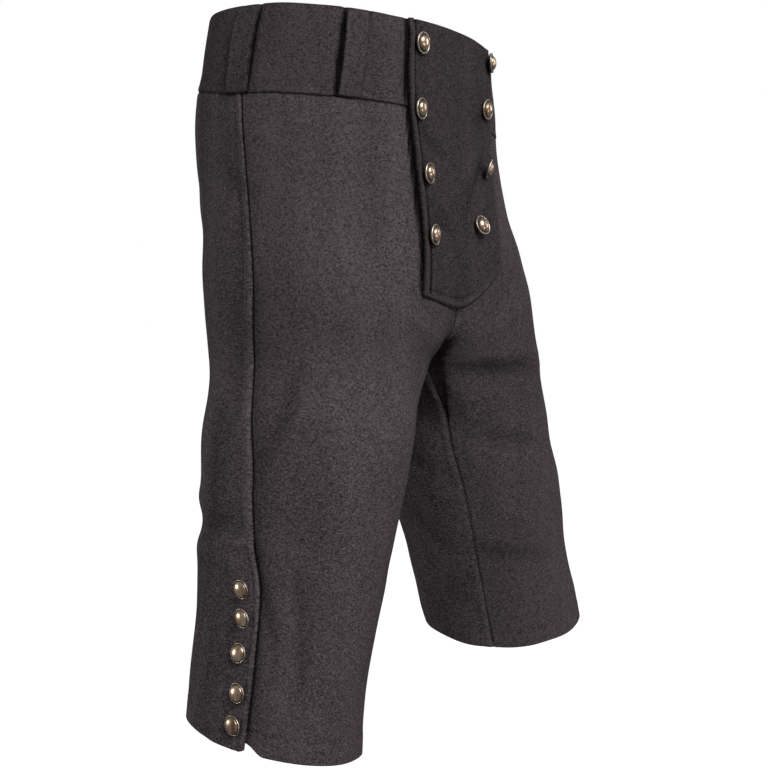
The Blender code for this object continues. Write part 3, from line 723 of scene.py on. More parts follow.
def stretched(tree, coordinates, per_metre_u, per_metre_v):
    scale = (per_metre_u, per_metre_v, 1.0)
    return add_node(tree, "ShaderNodeMapping", {"Vector": coordinates, "Scale": scale})


def thread_cells(tree, coordinates, per_metre_u, per_metre_v):
    """A random value for each short run of yarn on the surface."""
    places = stretched(tree, coordinates, per_metre_u, per_metre_v)
    cell = add_node(tree, "ShaderNodeVectorMath", {0: places}, operation="FLOOR")
    return add_node(tree, "ShaderNodeTexWhiteNoise", {"Vector": cell}, noise_dimensions="2D")


def stretched_noise(tree, coordinates, per_metre_u, per_metre_v, detail=2.0):
    """Noise with its own number of waves a metre each way."""
    places = stretched(tree, coordinates, per_metre_u, per_metre_v)
    return add_node(tree, "ShaderNodeTexNoise", {"Vector": places, "Scale": 1.0, "Detail": detail})


def mixed_colour(tree, share, low, high):
    """A colour between two."""
    ends = {6: (*low, 1.0), 7: (*high, 1.0)}
    return add_node(
        tree, "ShaderNodeMix", {"Factor": share, **ends}, 2, data_type="RGBA", blend_type="MIX"
    )


def bumped(tree, height, strength, distance):
    """A normal that follows a height."""
    inputs = {"Height": height, "Strength": strength, "Distance": distance}
    return add_node(tree, "ShaderNodeBump", inputs)


# Waves a metre along the weft and the warp, detail and share of the canvas's threads
THREADS = make_table(
    "per_metre_u per_metre_v detail share",
    (240.0, 1250.0, 1.0, 0.34),
    (1250.0, 300.0, 1.0, 0.20),
    (820.0, 980.0, 2.0, 0.24),
)
TWILL = {"Scale": 300.0, "Distortion": 1.6, "Detail": 1.0, "Detail Scale": 2.0}
TWILL_SHARE = 0.10
YARN_SHARE = 0.22
FLECK_LIGHT = 1.5
FLECK_HEIGHT = 0.2
# How many times lighter than the shade the lightest thread may be
BRIGHTEST = 2.0


def canvas_material(name, brightness, blotches):
    """Charcoal canvas: a twill of uneven slubbed threads with pale flecks and slight fading. It is
    painted darker as shade in grooves, creases and hollows, and lighter on ridges, partly as rubbing
    and partly as painted highlight.
    """
    made, tree, shader = new_material(name)
    uv = add_node(tree, "ShaderNodeUVMap", {}, uv_map="cloth")
    place = add_node(tree, "ShaderNodeTexCoord", {}, "Object")
    parts = [(stretched_noise(tree, uv, *row[:3]), row.share) for row in THREADS]
    twill = {"Vector": uv, **TWILL}
    twill = add_node(tree, "ShaderNodeTexWave", twill, "Fac", bands_direction="DIAGONAL")
    threads = blend(tree, parts + [(twill, TWILL_SHARE)])
    flecks = ramp(tree, stretched_noise(tree, uv, 430.0, 760.0, 1.0), 0.59, 0.72)
    yarn = combine(tree, "MULTIPLY", thread_cells(tree, uv, 900.0, 1150.0), YARN_SHARE)
    tone = ramp(tree, combine(tree, "ADD", threads, yarn), 0.36, 0.74, 0.20, 1.80)
    for source, spread in (
        (stretched_noise(tree, uv, 150.0, 190.0, 1.0), 0.12),
        (stretched_noise(tree, place, 34.0, 34.0, 3.0), blotches),
        (stretched_noise(tree, place, 8.0, 8.0, 2.0), 0.06),
    ):
        tone = combine(tree, "MULTIPLY", tone, ramp(tree, source, 0.3, 0.7, 1 - spread, 1 + spread))
    tone = combine(tree, "ADD", tone, combine(tree, "MULTIPLY", flecks, FLECK_LIGHT))
    # Painted shade and rubbing: the colour falls to 0.14 where the relief sinks, as shade, and rises
    # to 1.35 times where it stands up, partly as rubbing and partly as painted highlight
    wear = add_node(tree, "ShaderNodeAttribute", {}, "Fac", attribute_name="wear")
    for shade_and_wear_ramp in ((-0.9, 0.0, 0.14, 1.0), (0.15, 1.0, 1.0, 1.35)):
        tone = combine(tree, "MULTIPLY", tone, ramp(tree, wear, *shade_and_wear_ramp))
    brightest = [BRIGHTEST * brightness * share for share in CANVAS_SHADE]
    share = combine(tree, "MULTIPLY", tone, 1 / BRIGHTEST)
    height = combine(tree, "ADD", threads, combine(tree, "MULTIPLY", flecks, FLECK_HEIGHT))
    set_inputs(tree, shader, {
        "Base Color": mixed_colour(tree, share, (0.0, 0.0, 0.0), brightest),
        "Roughness": 0.95,
        "Specular IOR Level": 0.05,
        "Normal": bumped(tree, height, 0.45, 0.0006),
    })
    return made


def thread_material():
    """Dark sewing thread."""
    made, tree, shader = new_material("thread")
    place = add_node(tree, "ShaderNodeTexCoord", {}, "Object")
    twist = ramp(tree, stretched_noise(tree, place, 900.0, 900.0), 0.3, 0.7)
    colour = mixed_colour(tree, twist, (0.020, 0.018, 0.019), (0.060, 0.053, 0.054))
    set_inputs(tree, shader, {"Base Color": colour, "Roughness": 0.6})
    return made


def brass_material(name, dark, light, roughness, metallic):
    """Aged brass, patchy between two colours, with fine scratches."""
    made, tree, shader = new_material(name)
    place = add_node(tree, "ShaderNodeTexCoord", {}, "Object")
    patches = stretched_noise(tree, place, 420.0, 420.0, 3.0)
    scratches = stretched_noise(tree, place, 2600.0, 300.0, 2.0)
    set_inputs(tree, shader, {
        "Base Color": mixed_colour(tree, ramp(tree, patches, 0.35, 0.65), dark, light),
        "Roughness": ramp(tree, patches, 0.3, 0.7, roughness + 0.10, roughness - 0.06),
        "Metallic": metallic,
        "Normal": bumped(tree, scratches, 0.05, 0.0002),
    })
    return made


CANVAS_SHADE = (0.0435, 0.0355, 0.0380)
canvas = canvas_material("canvas_cloth", 1.0, 0.14)
back_canvas = canvas_material("back_cloth", 1.0, 0.26)
band_canvas = canvas_material("band_cloth", 0.78, 0.14)
fall_canvas = canvas_material("fall_cloth", 0.58, 0.14)
thread = thread_material()
brass = brass_material("brass", (0.22, 0.130, 0.082), (0.60, 0.47, 0.345), 0.26, 1.0)
worn_rim = brass_material("worn_rim", (0.24, 0.195, 0.155), (0.52, 0.455, 0.38), 0.34, 1.0)
patina = brass_material("patina", (0.014, 0.010, 0.008), (0.050, 0.034, 0.023), 0.60, 0.3)

# Cloth panels: the spacings of their points, in metres
PANEL_ROWS = Spacing(0.0030, 0.0008, 0.006)
FRONT_COLUMNS = Spacing(0.0030, 0.0010, 0.008)
BACK_COLUMNS = Spacing(0.0030, 0.0008, 0.009)
BAND_ROWS = Spacing(0.0025, 0.0006, 0.008)
BAND_COLUMNS = Spacing(0.0030, 0.0010, 0.004)
FRONT_HEM_ROWS = np.arange(0.545, 0.556, 0.0008)
BACK_FINE_ROWS = np.concatenate((np.arange(VENT_TOP, 0.446, 0.001), np.arange(0.545, 0.565, 0.0008)))
LAP_STEP_COLUMN = 0.0012
LEAST_ROW = 0.0003
# How far the front panel runs on under the vent's lap, as u, and where it begins to
UNDERLAP = 0.011
UNDERLAP_START = 0.428
UNDERLAP_STEP = 0.012
UNDERLAP_START_U = 0.485
UNDERLAP_STEP_U = 0.015
HEM_CURVE_TOP = 0.515
BACK_CURVE_RISE = 0.0024
BACK_CURVE_REACH = 0.007
BACK_CURVE_TOP = 0.550
LAP_SPREAD = 0.04
BAND_RISE_FADE = 0.045
# The hem is turned up inside, so the cloth is thicker there
HEM_FOLD = 0.0008
HEM_FOLD_TOP = 0.5495
HEM_FOLD_STEP = 0.002
# The width of the line between two shells at a seam of the legs or at the centre
HAIRLINE = 0.00004
# The solid that each kind of panel stands for, but for its side, and its slot
PANELS = {
    "front": ("front_", "canvas"),
    "back": ("back_", "canvas"),
    "band": ("waistband_", "band_canvas"),
}


def cloth_uv(drop, u):
    """The cloth's own coordinates in metres, round it and down."""
    return np.stack(np.broadcast_arrays(u * GIRTH, drop), -1)


def nudged(points, neighbours):
    """Points moved towards their neighbours by half the hairline."""
    return points + unit(neighbours - points) * HAIRLINE / 2


def finish_edges(kind, grid, drop):
    """Draws a panel's edges back from the seams by half the hairline between them, and brings its
    edge at the centre seam up to the hairline there."""
    at_side, by_side, at_centre, by_centre = (-1, -2, 0, 1) if kind == "front" else (0, 1, -1, -2)
    finished = grid.copy()
    finished[:, at_side] = nudged(grid[:, at_side], grid[:, by_side])
    centre = grid[:, at_centre].copy()
    centre[:, 0] = np.sign(centre[:, 0]) * HAIRLINE / 2
    inseam = nudged(grid[:, at_centre], grid[:, by_centre])
    finished[:, at_centre] = np.where(drop >= CROTCH_DROP, inseam, centre)
    return finished


def make_panel(kind, side, drop, places, finish, out=0.0):
    """A front or back panel or half the band, from its rows' drops and the places of its points."""
    outer, base, normal, fine = cloth_points(kind, side, *places, out)
    if kind != "band":
        outer, base = (finish_edges(kind, grid, drop) for grid in (outer, base))
    turned_up = HEM_FOLD * eased((drop - HEM_FOLD_TOP) / HEM_FOLD_STEP)
    inner = base - normal * (WALL + turned_up)[..., None]
    name, flip = "cloth_%s_%s" % (kind, side), side == "left"
    piece = shell(name, outer, inner, cloth_uv(*places), flip, finish, fine)
    node, slot = PANELS[kind]
    return dress(piece, node + side)


def front_places(drop, u):
    """Where the front panel's rows and columns lie: the hem's corner at the vent is rounded up, and
    the panel's edge runs on under the lap."""
    corner = between(u, HEM_CURVE_START, 0.5)
    low = between(drop, HEM_CURVE_TOP, HEM_DROP)
    under = eased((drop - UNDERLAP_START) / UNDERLAP_STEP)
    under = under * eased((u - UNDERLAP_START_U) / UNDERLAP_STEP_U)
    return drop - HEM_CURVE_RISE * corner * low, u + UNDERLAP * under


def back_places(drop, u):
    """Where the back panel's rows and columns lie: up to the narrower band, forward over the front
    panel at the vent, and round the hem's corner there."""
    moved = u - (0.5 - lap_edge(drop)) * (1 - eased((u - 0.5) / LAP_SPREAD))
    band = band_rise(u) * (1 - eased((drop - BAND_HEIGHT) / BAND_RISE_FADE))
    corner = BACK_CURVE_RISE * (1 - np.sqrt(np.clip((u - 0.5) / BACK_CURVE_REACH, 0, 1)))
    low = between(drop, BACK_CURVE_TOP, HEM_DROP)
    return drop - band - corner * low, moved


def make_front(side):
    drop = graded(BAND_HEIGHT + SEAM_GAP / 2, HEM_DROP, PANEL_ROWS, ends="start")
    drop = np.unique(np.concatenate((drop, FRONT_HEM_ROWS)))[:, None]
    u = graded(0.0, 0.5, FRONT_COLUMNS, GIRTH)[None, :]
    return make_panel("front", side, drop, front_places(drop, u), canvas)


def make_back(side):
    drop = graded(BAND_HEIGHT + SEAM_GAP / 2, HEM_DROP, PANEL_ROWS, ends="start")
    drop = np.unique(np.round(np.concatenate((drop, BACK_FINE_ROWS)), 6))
    drop = drop[np.concatenate((np.diff(drop) > LEAST_ROW, [True]))][:, None]
    step = np.arange(LAP_FLAT_END, LAP_FLAT_END + LAP_STEP, LAP_STEP_COLUMN)
    u = np.concatenate((graded(0.5, 1.0, BACK_COLUMNS, GIRTH), step))
    places = back_places(drop, np.unique(np.round(u, 6))[None, :])
    return make_panel("back", side, drop, places, back_canvas, lap_rise(*places))


def make_band(side):
    bottom = BAND_HEIGHT - SEAM_GAP / 2
    drop = graded(0.0, bottom, BAND_ROWS)[:, None]
    u = graded(0.0, 1.0, BAND_COLUMNS, GIRTH)[None, :]
    return make_panel("band", side, drop, (drop - band_rise(u) * drop / bottom, u), band_canvas)


def u_at_distance(side, drop, out):
    """Where the front surface lies a given distance from the centre plane."""
    drop, out = np.broadcast_arrays(np.asarray(drop, float), np.asarray(out, float))
    low, high = np.zeros(drop.shape), np.full(drop.shape, 0.35)
    for _ in range(30):
        middle = (low + high) / 2
        inside = np.abs(bare_point(side, drop, middle)[..., 0]) < out
        low, high = np.where(inside, middle, low), np.where(inside, high, middle)
    return (low + high) / 2


def fall_place(side, share_across, share_down):
    """Drop and distance from the centre at a share of the fall's half width and height."""
    corner = FALL_CORNER[side] - FALL_POINT
    drop = (FALL_POINT + corner * share_across**FALL_EDGE_CURVE) * share_down
    return drop, read(FALL_EDGE, side, drop) * share_across


# The fall's own creases: across runs from -1 on the wearer's right to 1, down from 0 to 1
FALL_FOLDS = make_table(
    FOLD_FIELDS,
    (0.64, 0.53, 0.02, 0.74, -0.0011, 0.0032),
    (0.48, 0.49, -0.10, 0.68, 0.0026, 0.0065),
    (0.85, 0.62, 0.40, 0.80, 0.0014, 0.008),
    (-0.85, 0.42, -0.45, 0.52, -0.0008, 0.006),
    (-0.80, 0.72, -0.30, 0.78, -0.0008, 0.007),
    (0.85, 0.30, 0.45, 0.36, -0.0010, 0.006),
)
FALL_FOLD_SCALE = (0.06, 0.21)
FALL_HALF = 0.065
FALL_WALL = 0.0018
FALL_ROWS = Spacing(0.0027, 0.0007, 0.009)
FALL_COLUMNS = Spacing(0.0025, 0.0007, 0.009)
# On the wearer's right and left: the groove of the stitching, and how far the edge stands off
STITCH_GROOVE = (0.0014, 0.0002)
STITCH_GROOVE_WIDTH = 0.0013
FALL_FLARE = (0.0036, 0.0012)
FALL_FLARE_WIDTH = 0.008
STITCH_INSET_TOP = 0.0060
STITCH_INSET_FOOT = 0.0085
STITCH_INSET_LEFT = 0.0035


def stitch_inset(across, down):
    """How far inside the fall's side edge its stitching runs."""
    inset = STITCH_INSET_TOP + (STITCH_INSET_FOOT - STITCH_INSET_TOP) * down
    return np.where(across < 0, inset, STITCH_INSET_LEFT)


def fall_relief(across, down, edge, bottom_gap):
    """The fall's stitched and rolled edges, its flare and its creases, as heights, and the height
    that its colour follows, in which the grooves and half of each crease's trough are painted dark
    as shade and the rolled rims lighter."""
    rim = np.minimum(edge, bottom_gap)
    groove = np.where(across < 0, *STITCH_GROOVE)
    lift = lines_height("fall", {"rim": (rim, 1.0), "foot": (bottom_gap, 1.0)})
    lift = lift - groove * bump(edge - stitch_inset(across, down), STITCH_GROOVE_WIDTH)
    # The height that the colour follows: the rims and grooves without the flare, and below, half of
    # each crease's trough, so the creases are painted darker as shade
    seams = lift.copy()
    free = eased((down - 0.01) / 0.06) * (1 - 0.6 * eased((down - 0.9) / 0.1))
    lift += np.where(across < 0, *FALL_FLARE) * free * bump(edge, FALL_FLARE_WIDTH)
    for fold in FALL_FOLDS:
        crease = along_fold(fold, across, down, FALL_FOLD_SCALE)
        lift += crease
        seams += 0.5 * np.minimum(crease, 0.0)
    return lift, seams


def fall_points(across, down):
    """Outer points of the fall, their directions and the height that its colour follows, with
    painted shade in its grooves and creases, for shares across and down.
    """
    across, down = np.broadcast_arrays(across, down)
    results = np.zeros(across.shape + (3,))
    normals = np.zeros(across.shape + (3,))
    edge, bottom_gap = np.zeros(across.shape), np.zeros(across.shape)
    for side in SIDES:
        mask = across <= 0 if side == "right" else across > 0
        share = np.abs(across[mask])
        drop, out = fall_place(side, share, down[mask])
        u = np.where(share < 1e-6, 0.0, u_at_distance(side, drop, out))
        base = bare_point(side, drop, u)
        normal = normal_at(side, drop, u)
        soft = fold_height(side, drop, u) + 0.5 * unevenness(base)
        results[mask] = base + normal * (soft + LAY_GAP + WALL)[:, None]
        normals[mask] = normal
        edge[mask] = read(FALL_EDGE, side, drop) * (1 - share)
        bottom_gap[mask] = fall_place(side, share, 1.0)[0] * (1 - down[mask])
    lift, seams = fall_relief(across, down, edge, bottom_gap)
    return results + normals * lift[..., None], normals, seams


def fall_surface(side, drop, out):
    """The fall's outer surface at a drop and a distance from the centre plane."""
    share = np.clip(out / read(FALL_EDGE, side, drop), 0.0, 1.0)
    down = np.clip(drop / fall_place(side, share, 1.0)[0], 0.0, 1.0)
    points, normals, _ = fall_points(np.asarray([OUTWARD[side] * share]), np.asarray([down]))
    return points[0], normals[0]


def make_fall():
    across = graded(-1.0, 1.0, FALL_COLUMNS, FALL_HALF)[None, :]
    down = graded(0.0, 1.0, FALL_ROWS, FALL_POINT)[:, None]
    outer, normal, fine = fall_points(across, down)
    inner = outer - normal * FALL_WALL
    uvs = np.stack(np.broadcast_arrays(across * FALL_HALF, down * FALL_POINT), -1)
    return dress(shell("cloth_fall", outer, inner, uvs, True, fall_canvas, fine), "fall")


LOOP_CLEARANCE = 0.0004
LOOP_LENGTH = 0.071
# How strongly the loop's colour follows its rolled edges: painted dark at the edges as shade, and
# lighter on the roll, partly as rubbing and partly as highlight
LOOP_SHADE_AND_WEAR = 1.5
LOOP_GRID = (48, 33)


def loop_grid(loop, rows, columns):
    """Outer and inner points of a belt loop, their shares across and down, and its relief."""
    share = np.linspace(0, 1, rows)
    bottom = LOOP_BOTTOM - band_rise(loop.u_bottom)
    drop = LOOP_TOP + (bottom - LOOP_TOP) * share
    u = loop.u_top + (loop.u_bottom - loop.u_top) * share
    base = bare_point(loop.side, drop, u)
    normal = normal_at(loop.side, drop, u)
    soft = fold_height(loop.side, drop, u) + unevenness(base)
    if loop.u_top == 1.0:
        base[:, 0] = 0.0
        sideways = np.tile((1.0, 0.0, 0.0), (rows, 1))
    else:
        sideways = bare_point(loop.side, drop, u + STEP_U) - base
        sideways = unit(sideways - normal * np.sum(sideways * normal, 1, keepdims=True))
    bow = LOOP_STAND_OFF * np.abs(np.sin(math.pi * share)) ** LOOP_BOW
    lift = LAY_GAP + LOOP_CLEARANCE + bow + soft
    across = np.linspace(-0.5, 0.5, columns)
    edge = (0.5 - np.abs(across)) * LOOP_WIDTH
    rolled = lines_height("loop", {"rim": (edge, 1.0)})
    inner = base[:, None] + sideways[:, None] * across[None, :, None] * LOOP_WIDTH
    inner = inner + normal[:, None] * lift[:, None, None]
    outer = inner + normal[:, None] * (LOOP_WALL + rolled[None, :, None])
    return outer, inner, across, share, np.tile(rolled, (rows, 1))


def make_loop(loop):
    outer, inner, across, share, rolled = loop_grid(loop, *LOOP_GRID)
    uvs = np.broadcast_arrays(across[None, :] * LOOP_WIDTH, share[:, None] * LOOP_LENGTH)
    uvs, flip, wear = np.stack(uvs, -1), loop.side == "left", rolled * LOOP_SHADE_AND_WEAR
    piece = shell("cloth_" + loop.name, outer, inner, uvs, flip, band_canvas, wear)
    return dress(piece, loop.name)


# Buttons: a lathe profile as shares of the radius, out from the middle and up from the back. The
# finishes are the worn rim, the dark groove and the dome, which is wider on the vents' buttons.
RIM, GROOVE, DOME = range(3)
BUTTON_RINGS = make_table(
    "fall_out vent_out up finish",
    (0.860, 0.860, 0.000, RIM),
    (0.960, 0.960, 0.050, RIM),
    (1.000, 1.000, 0.150, RIM),
    (0.990, 0.992, 0.220, RIM),
    (0.960, 0.972, 0.260, RIM),
    (0.925, 0.948, 0.265, RIM),
    (0.890, 0.925, 0.235, GROOVE),
    (0.850, 0.905, 0.190, GROOVE),
    (0.760, 0.880, 0.185, GROOVE),
    (0.710, 0.860, 0.225, GROOVE),
    (0.690, 0.840, 0.300, DOME),
    (0.655, 0.790, 0.380, DOME),
    (0.590, 0.700, 0.455, DOME),
    (0.490, 0.580, 0.525, DOME),
    (0.370, 0.435, 0.580, DOME),
    (0.250, 0.290, 0.615, DOME),
    (0.120, 0.140, 0.635, DOME),
)
BUTTON_TOP = 0.64
BUTTON_SEGMENTS = 48


def turned(direction, turn, tip):
    """A direction turned round the vertical and then tipped down, both in degrees."""
    level = math.hypot(direction[0], direction[1])
    heading = math.atan2(direction[1], direction[0]) + math.radians(turn)
    slope = math.atan2(direction[2], level) - math.radians(tip)
    around = math.cos(slope)
    return np.array((math.cos(heading) * around, math.sin(heading) * around, math.sin(slope)))


def seat_on(surface, drop, across, step, outward, normal, radius):
    """The middle of a button's back where it just rests on the cloth round it. The surface takes a
    drop and a place across, and step is how far it moves to measure the cloth's two directions."""
    centre = surface(drop, across)
    round_way = (surface(drop, across + step) - centre) / step
    down_way = (surface(drop + STEP_DROP, across) - centre) / STEP_DROP
    offsets = np.linalg.inv(np.column_stack((round_way, down_way, outward)))
    first = unit(np.cross(normal, (0.0, 0.0, 1.0)))
    second = np.cross(normal, first)
    highest = 0.0
    for angle in np.linspace(0, 2 * math.pi, 16, endpoint=False):
        spoke = (first * math.cos(angle) + second * math.sin(angle)) * radius * BUTTON_FOOT
        off_across, off_drop, _ = offsets @ spoke
        below = surface(max(drop + off_drop, 0.0), across + off_across)
        highest = max(highest, float(np.dot(below - centre - spoke, outward)))
    return centre + normal * ((highest + BUTTON_GAP) / float(np.dot(normal, outward)))


def make_button(node, seat, normal, radius, outs):
    """A button turned from its profile, with its three finishes."""
    points = [(0.0, 0.0, 0.0)]
    for ring, out in zip(BUTTON_RINGS, outs):
        for angle in np.linspace(0, 2 * math.pi, BUTTON_SEGMENTS, endpoint=False):
            points.append((out * math.cos(angle), out * math.sin(angle), ring.up))
    points.append((0.0, 0.0, BUTTON_TOP))
    faces, finishes = [], []
    for i in range(BUTTON_SEGMENTS):
        j = (i + 1) % BUTTON_SEGMENTS
        faces.append((0, 1 + j, 1 + i))
        finishes.append(RIM)
        for ring in range(len(BUTTON_RINGS) - 1):
            low = 1 + ring * BUTTON_SEGMENTS
            high = low + BUTTON_SEGMENTS
            faces.append((low + i, low + j, high + j, high + i))
            finishes.append(BUTTON_RINGS[ring].finish)
        last = 1 + (len(BUTTON_RINGS) - 1) * BUTTON_SEGMENTS
        faces.append((last + i, last + j, len(points) - 1))
        finishes.append(DOME)
    name = "brass_" + node
    mesh = bpy.data.meshes.new(name)
    turn = Vector(normal).to_track_quat("Z", "Y").to_matrix().to_4x4()
    place = Matrix.Translation(Vector(seat)) @ turn @ Matrix.Scale(radius, 4)
    mesh.from_pydata([place @ Vector(point) for point in points], [], faces)
    for finish in (worn_rim, patina, brass):
        mesh.materials.append(finish)
    mesh.polygons.foreach_set("material_index", finishes)
    mesh.shade_smooth()
    return dress(linked(name, mesh), node)


def make_fall_buttons():
    counts = {"right": 0, "left": 0}
    for spot in FALL_BUTTONS:
        counts[spot.side] += 1
        surface = lambda drop, out: fall_surface(spot.side, drop, out)[0]
        outward = fall_surface(spot.side, spot.drop, spot.out)[1]
        normal = turned(outward, spot.turn, spot.tip)
        seat = seat_on(surface, spot.drop, spot.out, STEP_OUT, outward, normal, FALL_BUTTON_RADIUS)
        node = "fall_button_%s_%d" % (spot.side, counts[spot.side])
        make_button(node, seat, normal, FALL_BUTTON_RADIUS, [ring.fall_out for ring in BUTTON_RINGS])


def make_vent_buttons(side):
    def surface(drop, u):
        at_drop = np.minimum(drop, HEM_DROP)
        return cloth_points("back", side, at_drop, np.asarray(u), lap_rise(at_drop, u))[0]

    for number, spot in enumerate(VENT_BUTTONS, start=1):
        reach = bare_point(side, spot.drop, 0.5 + STEP_U) - bare_point(side, spot.drop, 0.5)
        u = 0.5 + spot.inset * STEP_U / float(np.linalg.norm(reach))
        outward = normal_at(side, spot.drop, u)
        normal = turned(outward, spot.turn * OUTWARD[side], spot.tip)
        seat = seat_on(surface, spot.drop, u, STEP_U, outward, normal, VENT_BUTTON_RADIUS)
        node = "vent_button_%s_%d" % (side, number)
        make_button(node, seat, normal, VENT_BUTTON_RADIUS, [ring.vent_out for ring in BUTTON_RINGS])


# Stitches: short raised bars of thread along a line
STITCH_LENGTH = 0.0026
STITCH_PITCH = 0.0034
STITCH_RADIUS = 0.00026
STITCH_SIDES = 6
# A stitch's thickness along its length, both as shares
STITCH_PROFILE = ((-0.5, 0.25), (-0.36, 0.85), (0.0, 1.0), (0.36, 0.85), (0.5, 0.25))
SIDE_STITCH_INSET = 0.0052
LAP_STITCH_INSET = 0.0045
FALL_FOOT_INSET = 0.0065
# Where the stitching runs on a leg: round the hem as u, and down the side seam and the lap
FRONT_HEM_U = np.linspace(0.004, 0.488, 160)
BACK_HEM_U = np.linspace(0.504, 0.996, 200)
SEAM_DROPS = np.linspace(BAND_HEIGHT + 0.003, VENT_TOP - 0.002, 240)
LAP_DROPS = np.linspace(LAP_WIDEST, HEM_DROP - 0.004, 120)


def along(rows, lengths, at):
    """The rows of a path at distances along it."""
    return np.stack([np.interp(at, lengths, column) for column in rows.T], -1)


def make_stitches(name, lines):
    """One mesh of stitches along lines, each a pair of arrays of points and directions."""
    angle = 2 * math.pi * np.arange(STITCH_SIDES) / STITCH_SIDES
    lengthways, wide = np.array(STITCH_PROFILE).T[:, None, :, None, None]
    points = []
    for path, normals in lines:
        lengths = np.concatenate(([0], np.cumsum(np.linalg.norm(np.diff(path, axis=0), axis=1))))
        middle = (np.arange(int(lengths[-1] / STITCH_PITCH)) + 0.5) * STITCH_PITCH
        start = along(path, lengths, middle - STITCH_LENGTH / 2)
        end = along(path, lengths, middle + STITCH_LENGTH / 2)
        way = unit(end - start)
        up = along(normals, lengths, middle)
        up = unit(up - way * np.sum(up * way, -1, keepdims=True))
        centre, way, up, across = (
            row[:, None, None] for row in
            ((start + end) / 2 + up * STITCH_RADIUS * 0.5, way, up, np.cross(way, up))
        )
        ring = across * np.cos(angle)[:, None] + up * np.sin(angle)[:, None]
        stitches = centre + way * lengthways * STITCH_LENGTH + ring * wide * STITCH_RADIUS
        points.append(stitches.reshape(-1, 3))
    points = np.concatenate(points)
    index = np.arange(len(points)).reshape(-1, len(STITCH_PROFILE), STITCH_SIDES)
    there = np.roll(index, -1, 2)
    faces = np.stack((index[:, :-1], there[:, :-1], there[:, 1:], index[:, 1:]), -1).reshape(-1, 4)
    piece = make_object(name, points, faces, np.zeros((len(points), 2)), thread)
    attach(piece, "root")
    return piece


def line_on(kind, side, drop, u, out=0.0):
    """A line on a piece's outer surface."""
    outer, _, normal, _ = cloth_points(kind, side, drop, u, out)
    return outer, normal


def make_leg_stitches(side):
    """The stitching of one leg's hem, side seam and lap."""
    hem = back_places(HEM_LINE, BACK_HEM_U)
    make_stitches("stitches_hem_" + side, [
        line_on("front", side, front_places(HEM_LINE, FRONT_HEM_U)[0], FRONT_HEM_U),
        line_on("back", side, *hem, lap_rise(*hem)),
    ])
    lap = LAP_DROPS, lap_edge(LAP_DROPS) + LAP_STITCH_INSET / GIRTH
    make_stitches("stitches_side_" + side, [
        line_on("back", side, SEAM_DROPS, 0.5 + SIDE_STITCH_INSET / GIRTH),
        line_on("back", side, *lap, lap_rise(*lap)),
    ])


def make_fall_stitches():
    """The stitching inside the fall's two side edges and its foot."""
    rows = np.linspace(0.012, 1 - FALL_FOOT_INSET / FALL_POINT, 200)
    edges = []
    for side in SIDES:
        share = np.full(200, 0.9)
        for _ in range(3):
            drop, _ = fall_place(side, share, rows)
            inset = stitch_inset(OUTWARD[side] * share, rows)
            share = 1 - inset / read(FALL_EDGE, side, drop)
        edges.append(fall_points(OUTWARD[side] * share, rows)[:2])
    across = np.linspace(-0.885, 0.885, 140)
    foot = [fall_place("right" if a < 0 else "left", abs(a), 1.0)[0] for a in across]
    edges.append(fall_points(across, 1 - FALL_FOOT_INSET / np.array(foot))[:2])
    make_stitches("stitches_fall", edges)


fronts = {side: make_front(side) for side in SIDES}
backs = {side: make_back(side) for side in SIDES}
bands = {side: make_band(side) for side in SIDES}
fall = make_fall()
loops = [make_loop(loop) for loop in LOOPS]
make_fall_buttons()
for side in SIDES:
    make_vent_buttons(side)
for side in SIDES:
    make_leg_stitches(side)
make_fall_stitches()

# Camera at the photograph's angle, height and distance
CAMERA_AZIMUTH = math.radians(-55.0)
CAMERA_PITCH = math.radians(2.72)
CAMERA_PLACE = (0.024, -1.034, -0.2647)

camera_data = bpy.data.cameras.new("camera")
camera_data.lens = 51.5
camera_data.sensor_width = 36.0
camera = linked("camera", camera_data)
heading = Matrix.Rotation(CAMERA_AZIMUTH, 4, "Z")
tilt = Matrix.Rotation(math.pi / 2 - CAMERA_PITCH, 4, "X")
camera.matrix_world = heading @ Matrix.Translation(CAMERA_PLACE) @ tilt
bpy.context.scene.camera = camera

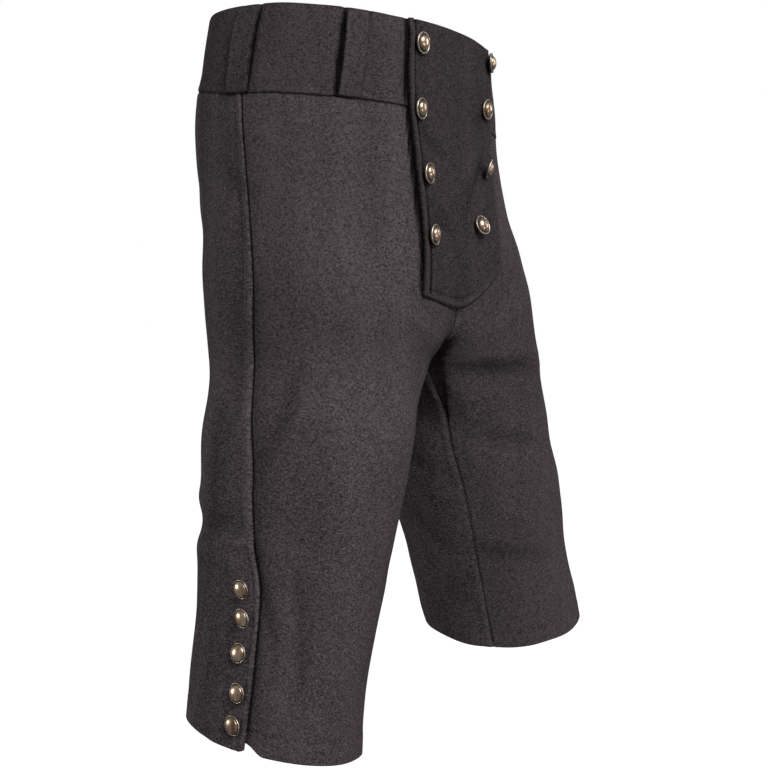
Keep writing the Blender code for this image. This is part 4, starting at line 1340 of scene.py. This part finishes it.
# Floor, light and air
FLOOR_HEIGHT = -0.70
FLOOR_HALF = 12.0
LOW_AIR_LIGHT = 0.26
HIGH_AIR_LIGHT = 0.40
WHITE = (1.0, 1.0, 1.0, 1.0)
corners = ((-1, -1), (1, -1), (1, 1), (-1, 1))
floor_mesh = bpy.data.meshes.new("floor")
floor_mesh.from_pydata(
    [(x * FLOOR_HALF, y * FLOOR_HALF, FLOOR_HEIGHT) for x, y in corners], [], [(0, 1, 2, 3)]
)
floor_finish, floor_tree, floor_shader = new_material("floor_finish")
set_inputs(floor_tree, floor_shader, {
    "Base Color": (0.15, 0.15, 0.15, 1.0),
    "Roughness": 0.9,
    "Emission Color": WHITE,
    "Emission Strength": 0.95,
})
floor_mesh.materials.append(floor_finish)
floor = linked("floor", floor_mesh)
floor.visible_glossy = False
floor.visible_diffuse = False

world = bpy.data.worlds.new("studio")
world.use_nodes = True
air = world.node_tree
way = add_node(air, "ShaderNodeTexCoord", {}, "Generated")
height = add_node(air, "ShaderNodeSeparateXYZ", {"Vector": way}, "Z")
glow = ramp(air, height, -0.2, 0.9, LOW_AIR_LIGHT, HIGH_AIR_LIGHT)
seen = add_node(air, "ShaderNodeLightPath", {}, "Is Camera Ray")
strength = combine(air, "MAXIMUM", glow, seen)
set_inputs(air, air.nodes["Background"], {"Color": WHITE, "Strength": strength})
bpy.context.scene.world = world
bpy.context.scene.view_settings.view_transform = "Standard"


def area_light(name, azimuth, elevation, distance, width, height, power, target_z=-0.28):
    """A soft box light round the garment, turned to face it. Its angles are in degrees."""
    a, e = math.radians(azimuth), math.radians(elevation)
    way = Vector((math.sin(a) * math.cos(e), -math.cos(a) * math.cos(e), math.sin(e)))
    data = bpy.data.lights.new(name, "AREA")
    data.shape = "RECTANGLE"
    data.size = width
    data.size_y = height
    data.energy = power
    place = Matrix.Translation(Vector((0.0, 0.0, target_z)) + way * distance)
    light = linked(name, data)
    light.matrix_world = place @ way.to_track_quat("Z", "Y").to_matrix().to_4x4()
    return light


area_light("key", -20.0, 38.0, 2.6, 1.5, 1.5, 77.0)
area_light("back_fill", -142.0, 0.0, 1.6, 0.35, 0.40, 10.0, -0.49)
area_light("low_fill", 4.0, 0.0, 1.6, 0.5, 0.30, 3.6, -0.53)
side_glint = area_light("side_glint", 48.0, 18.0, 2.4, 0.5, 1.2, 10.0)
side_glint.visible_diffuse = False
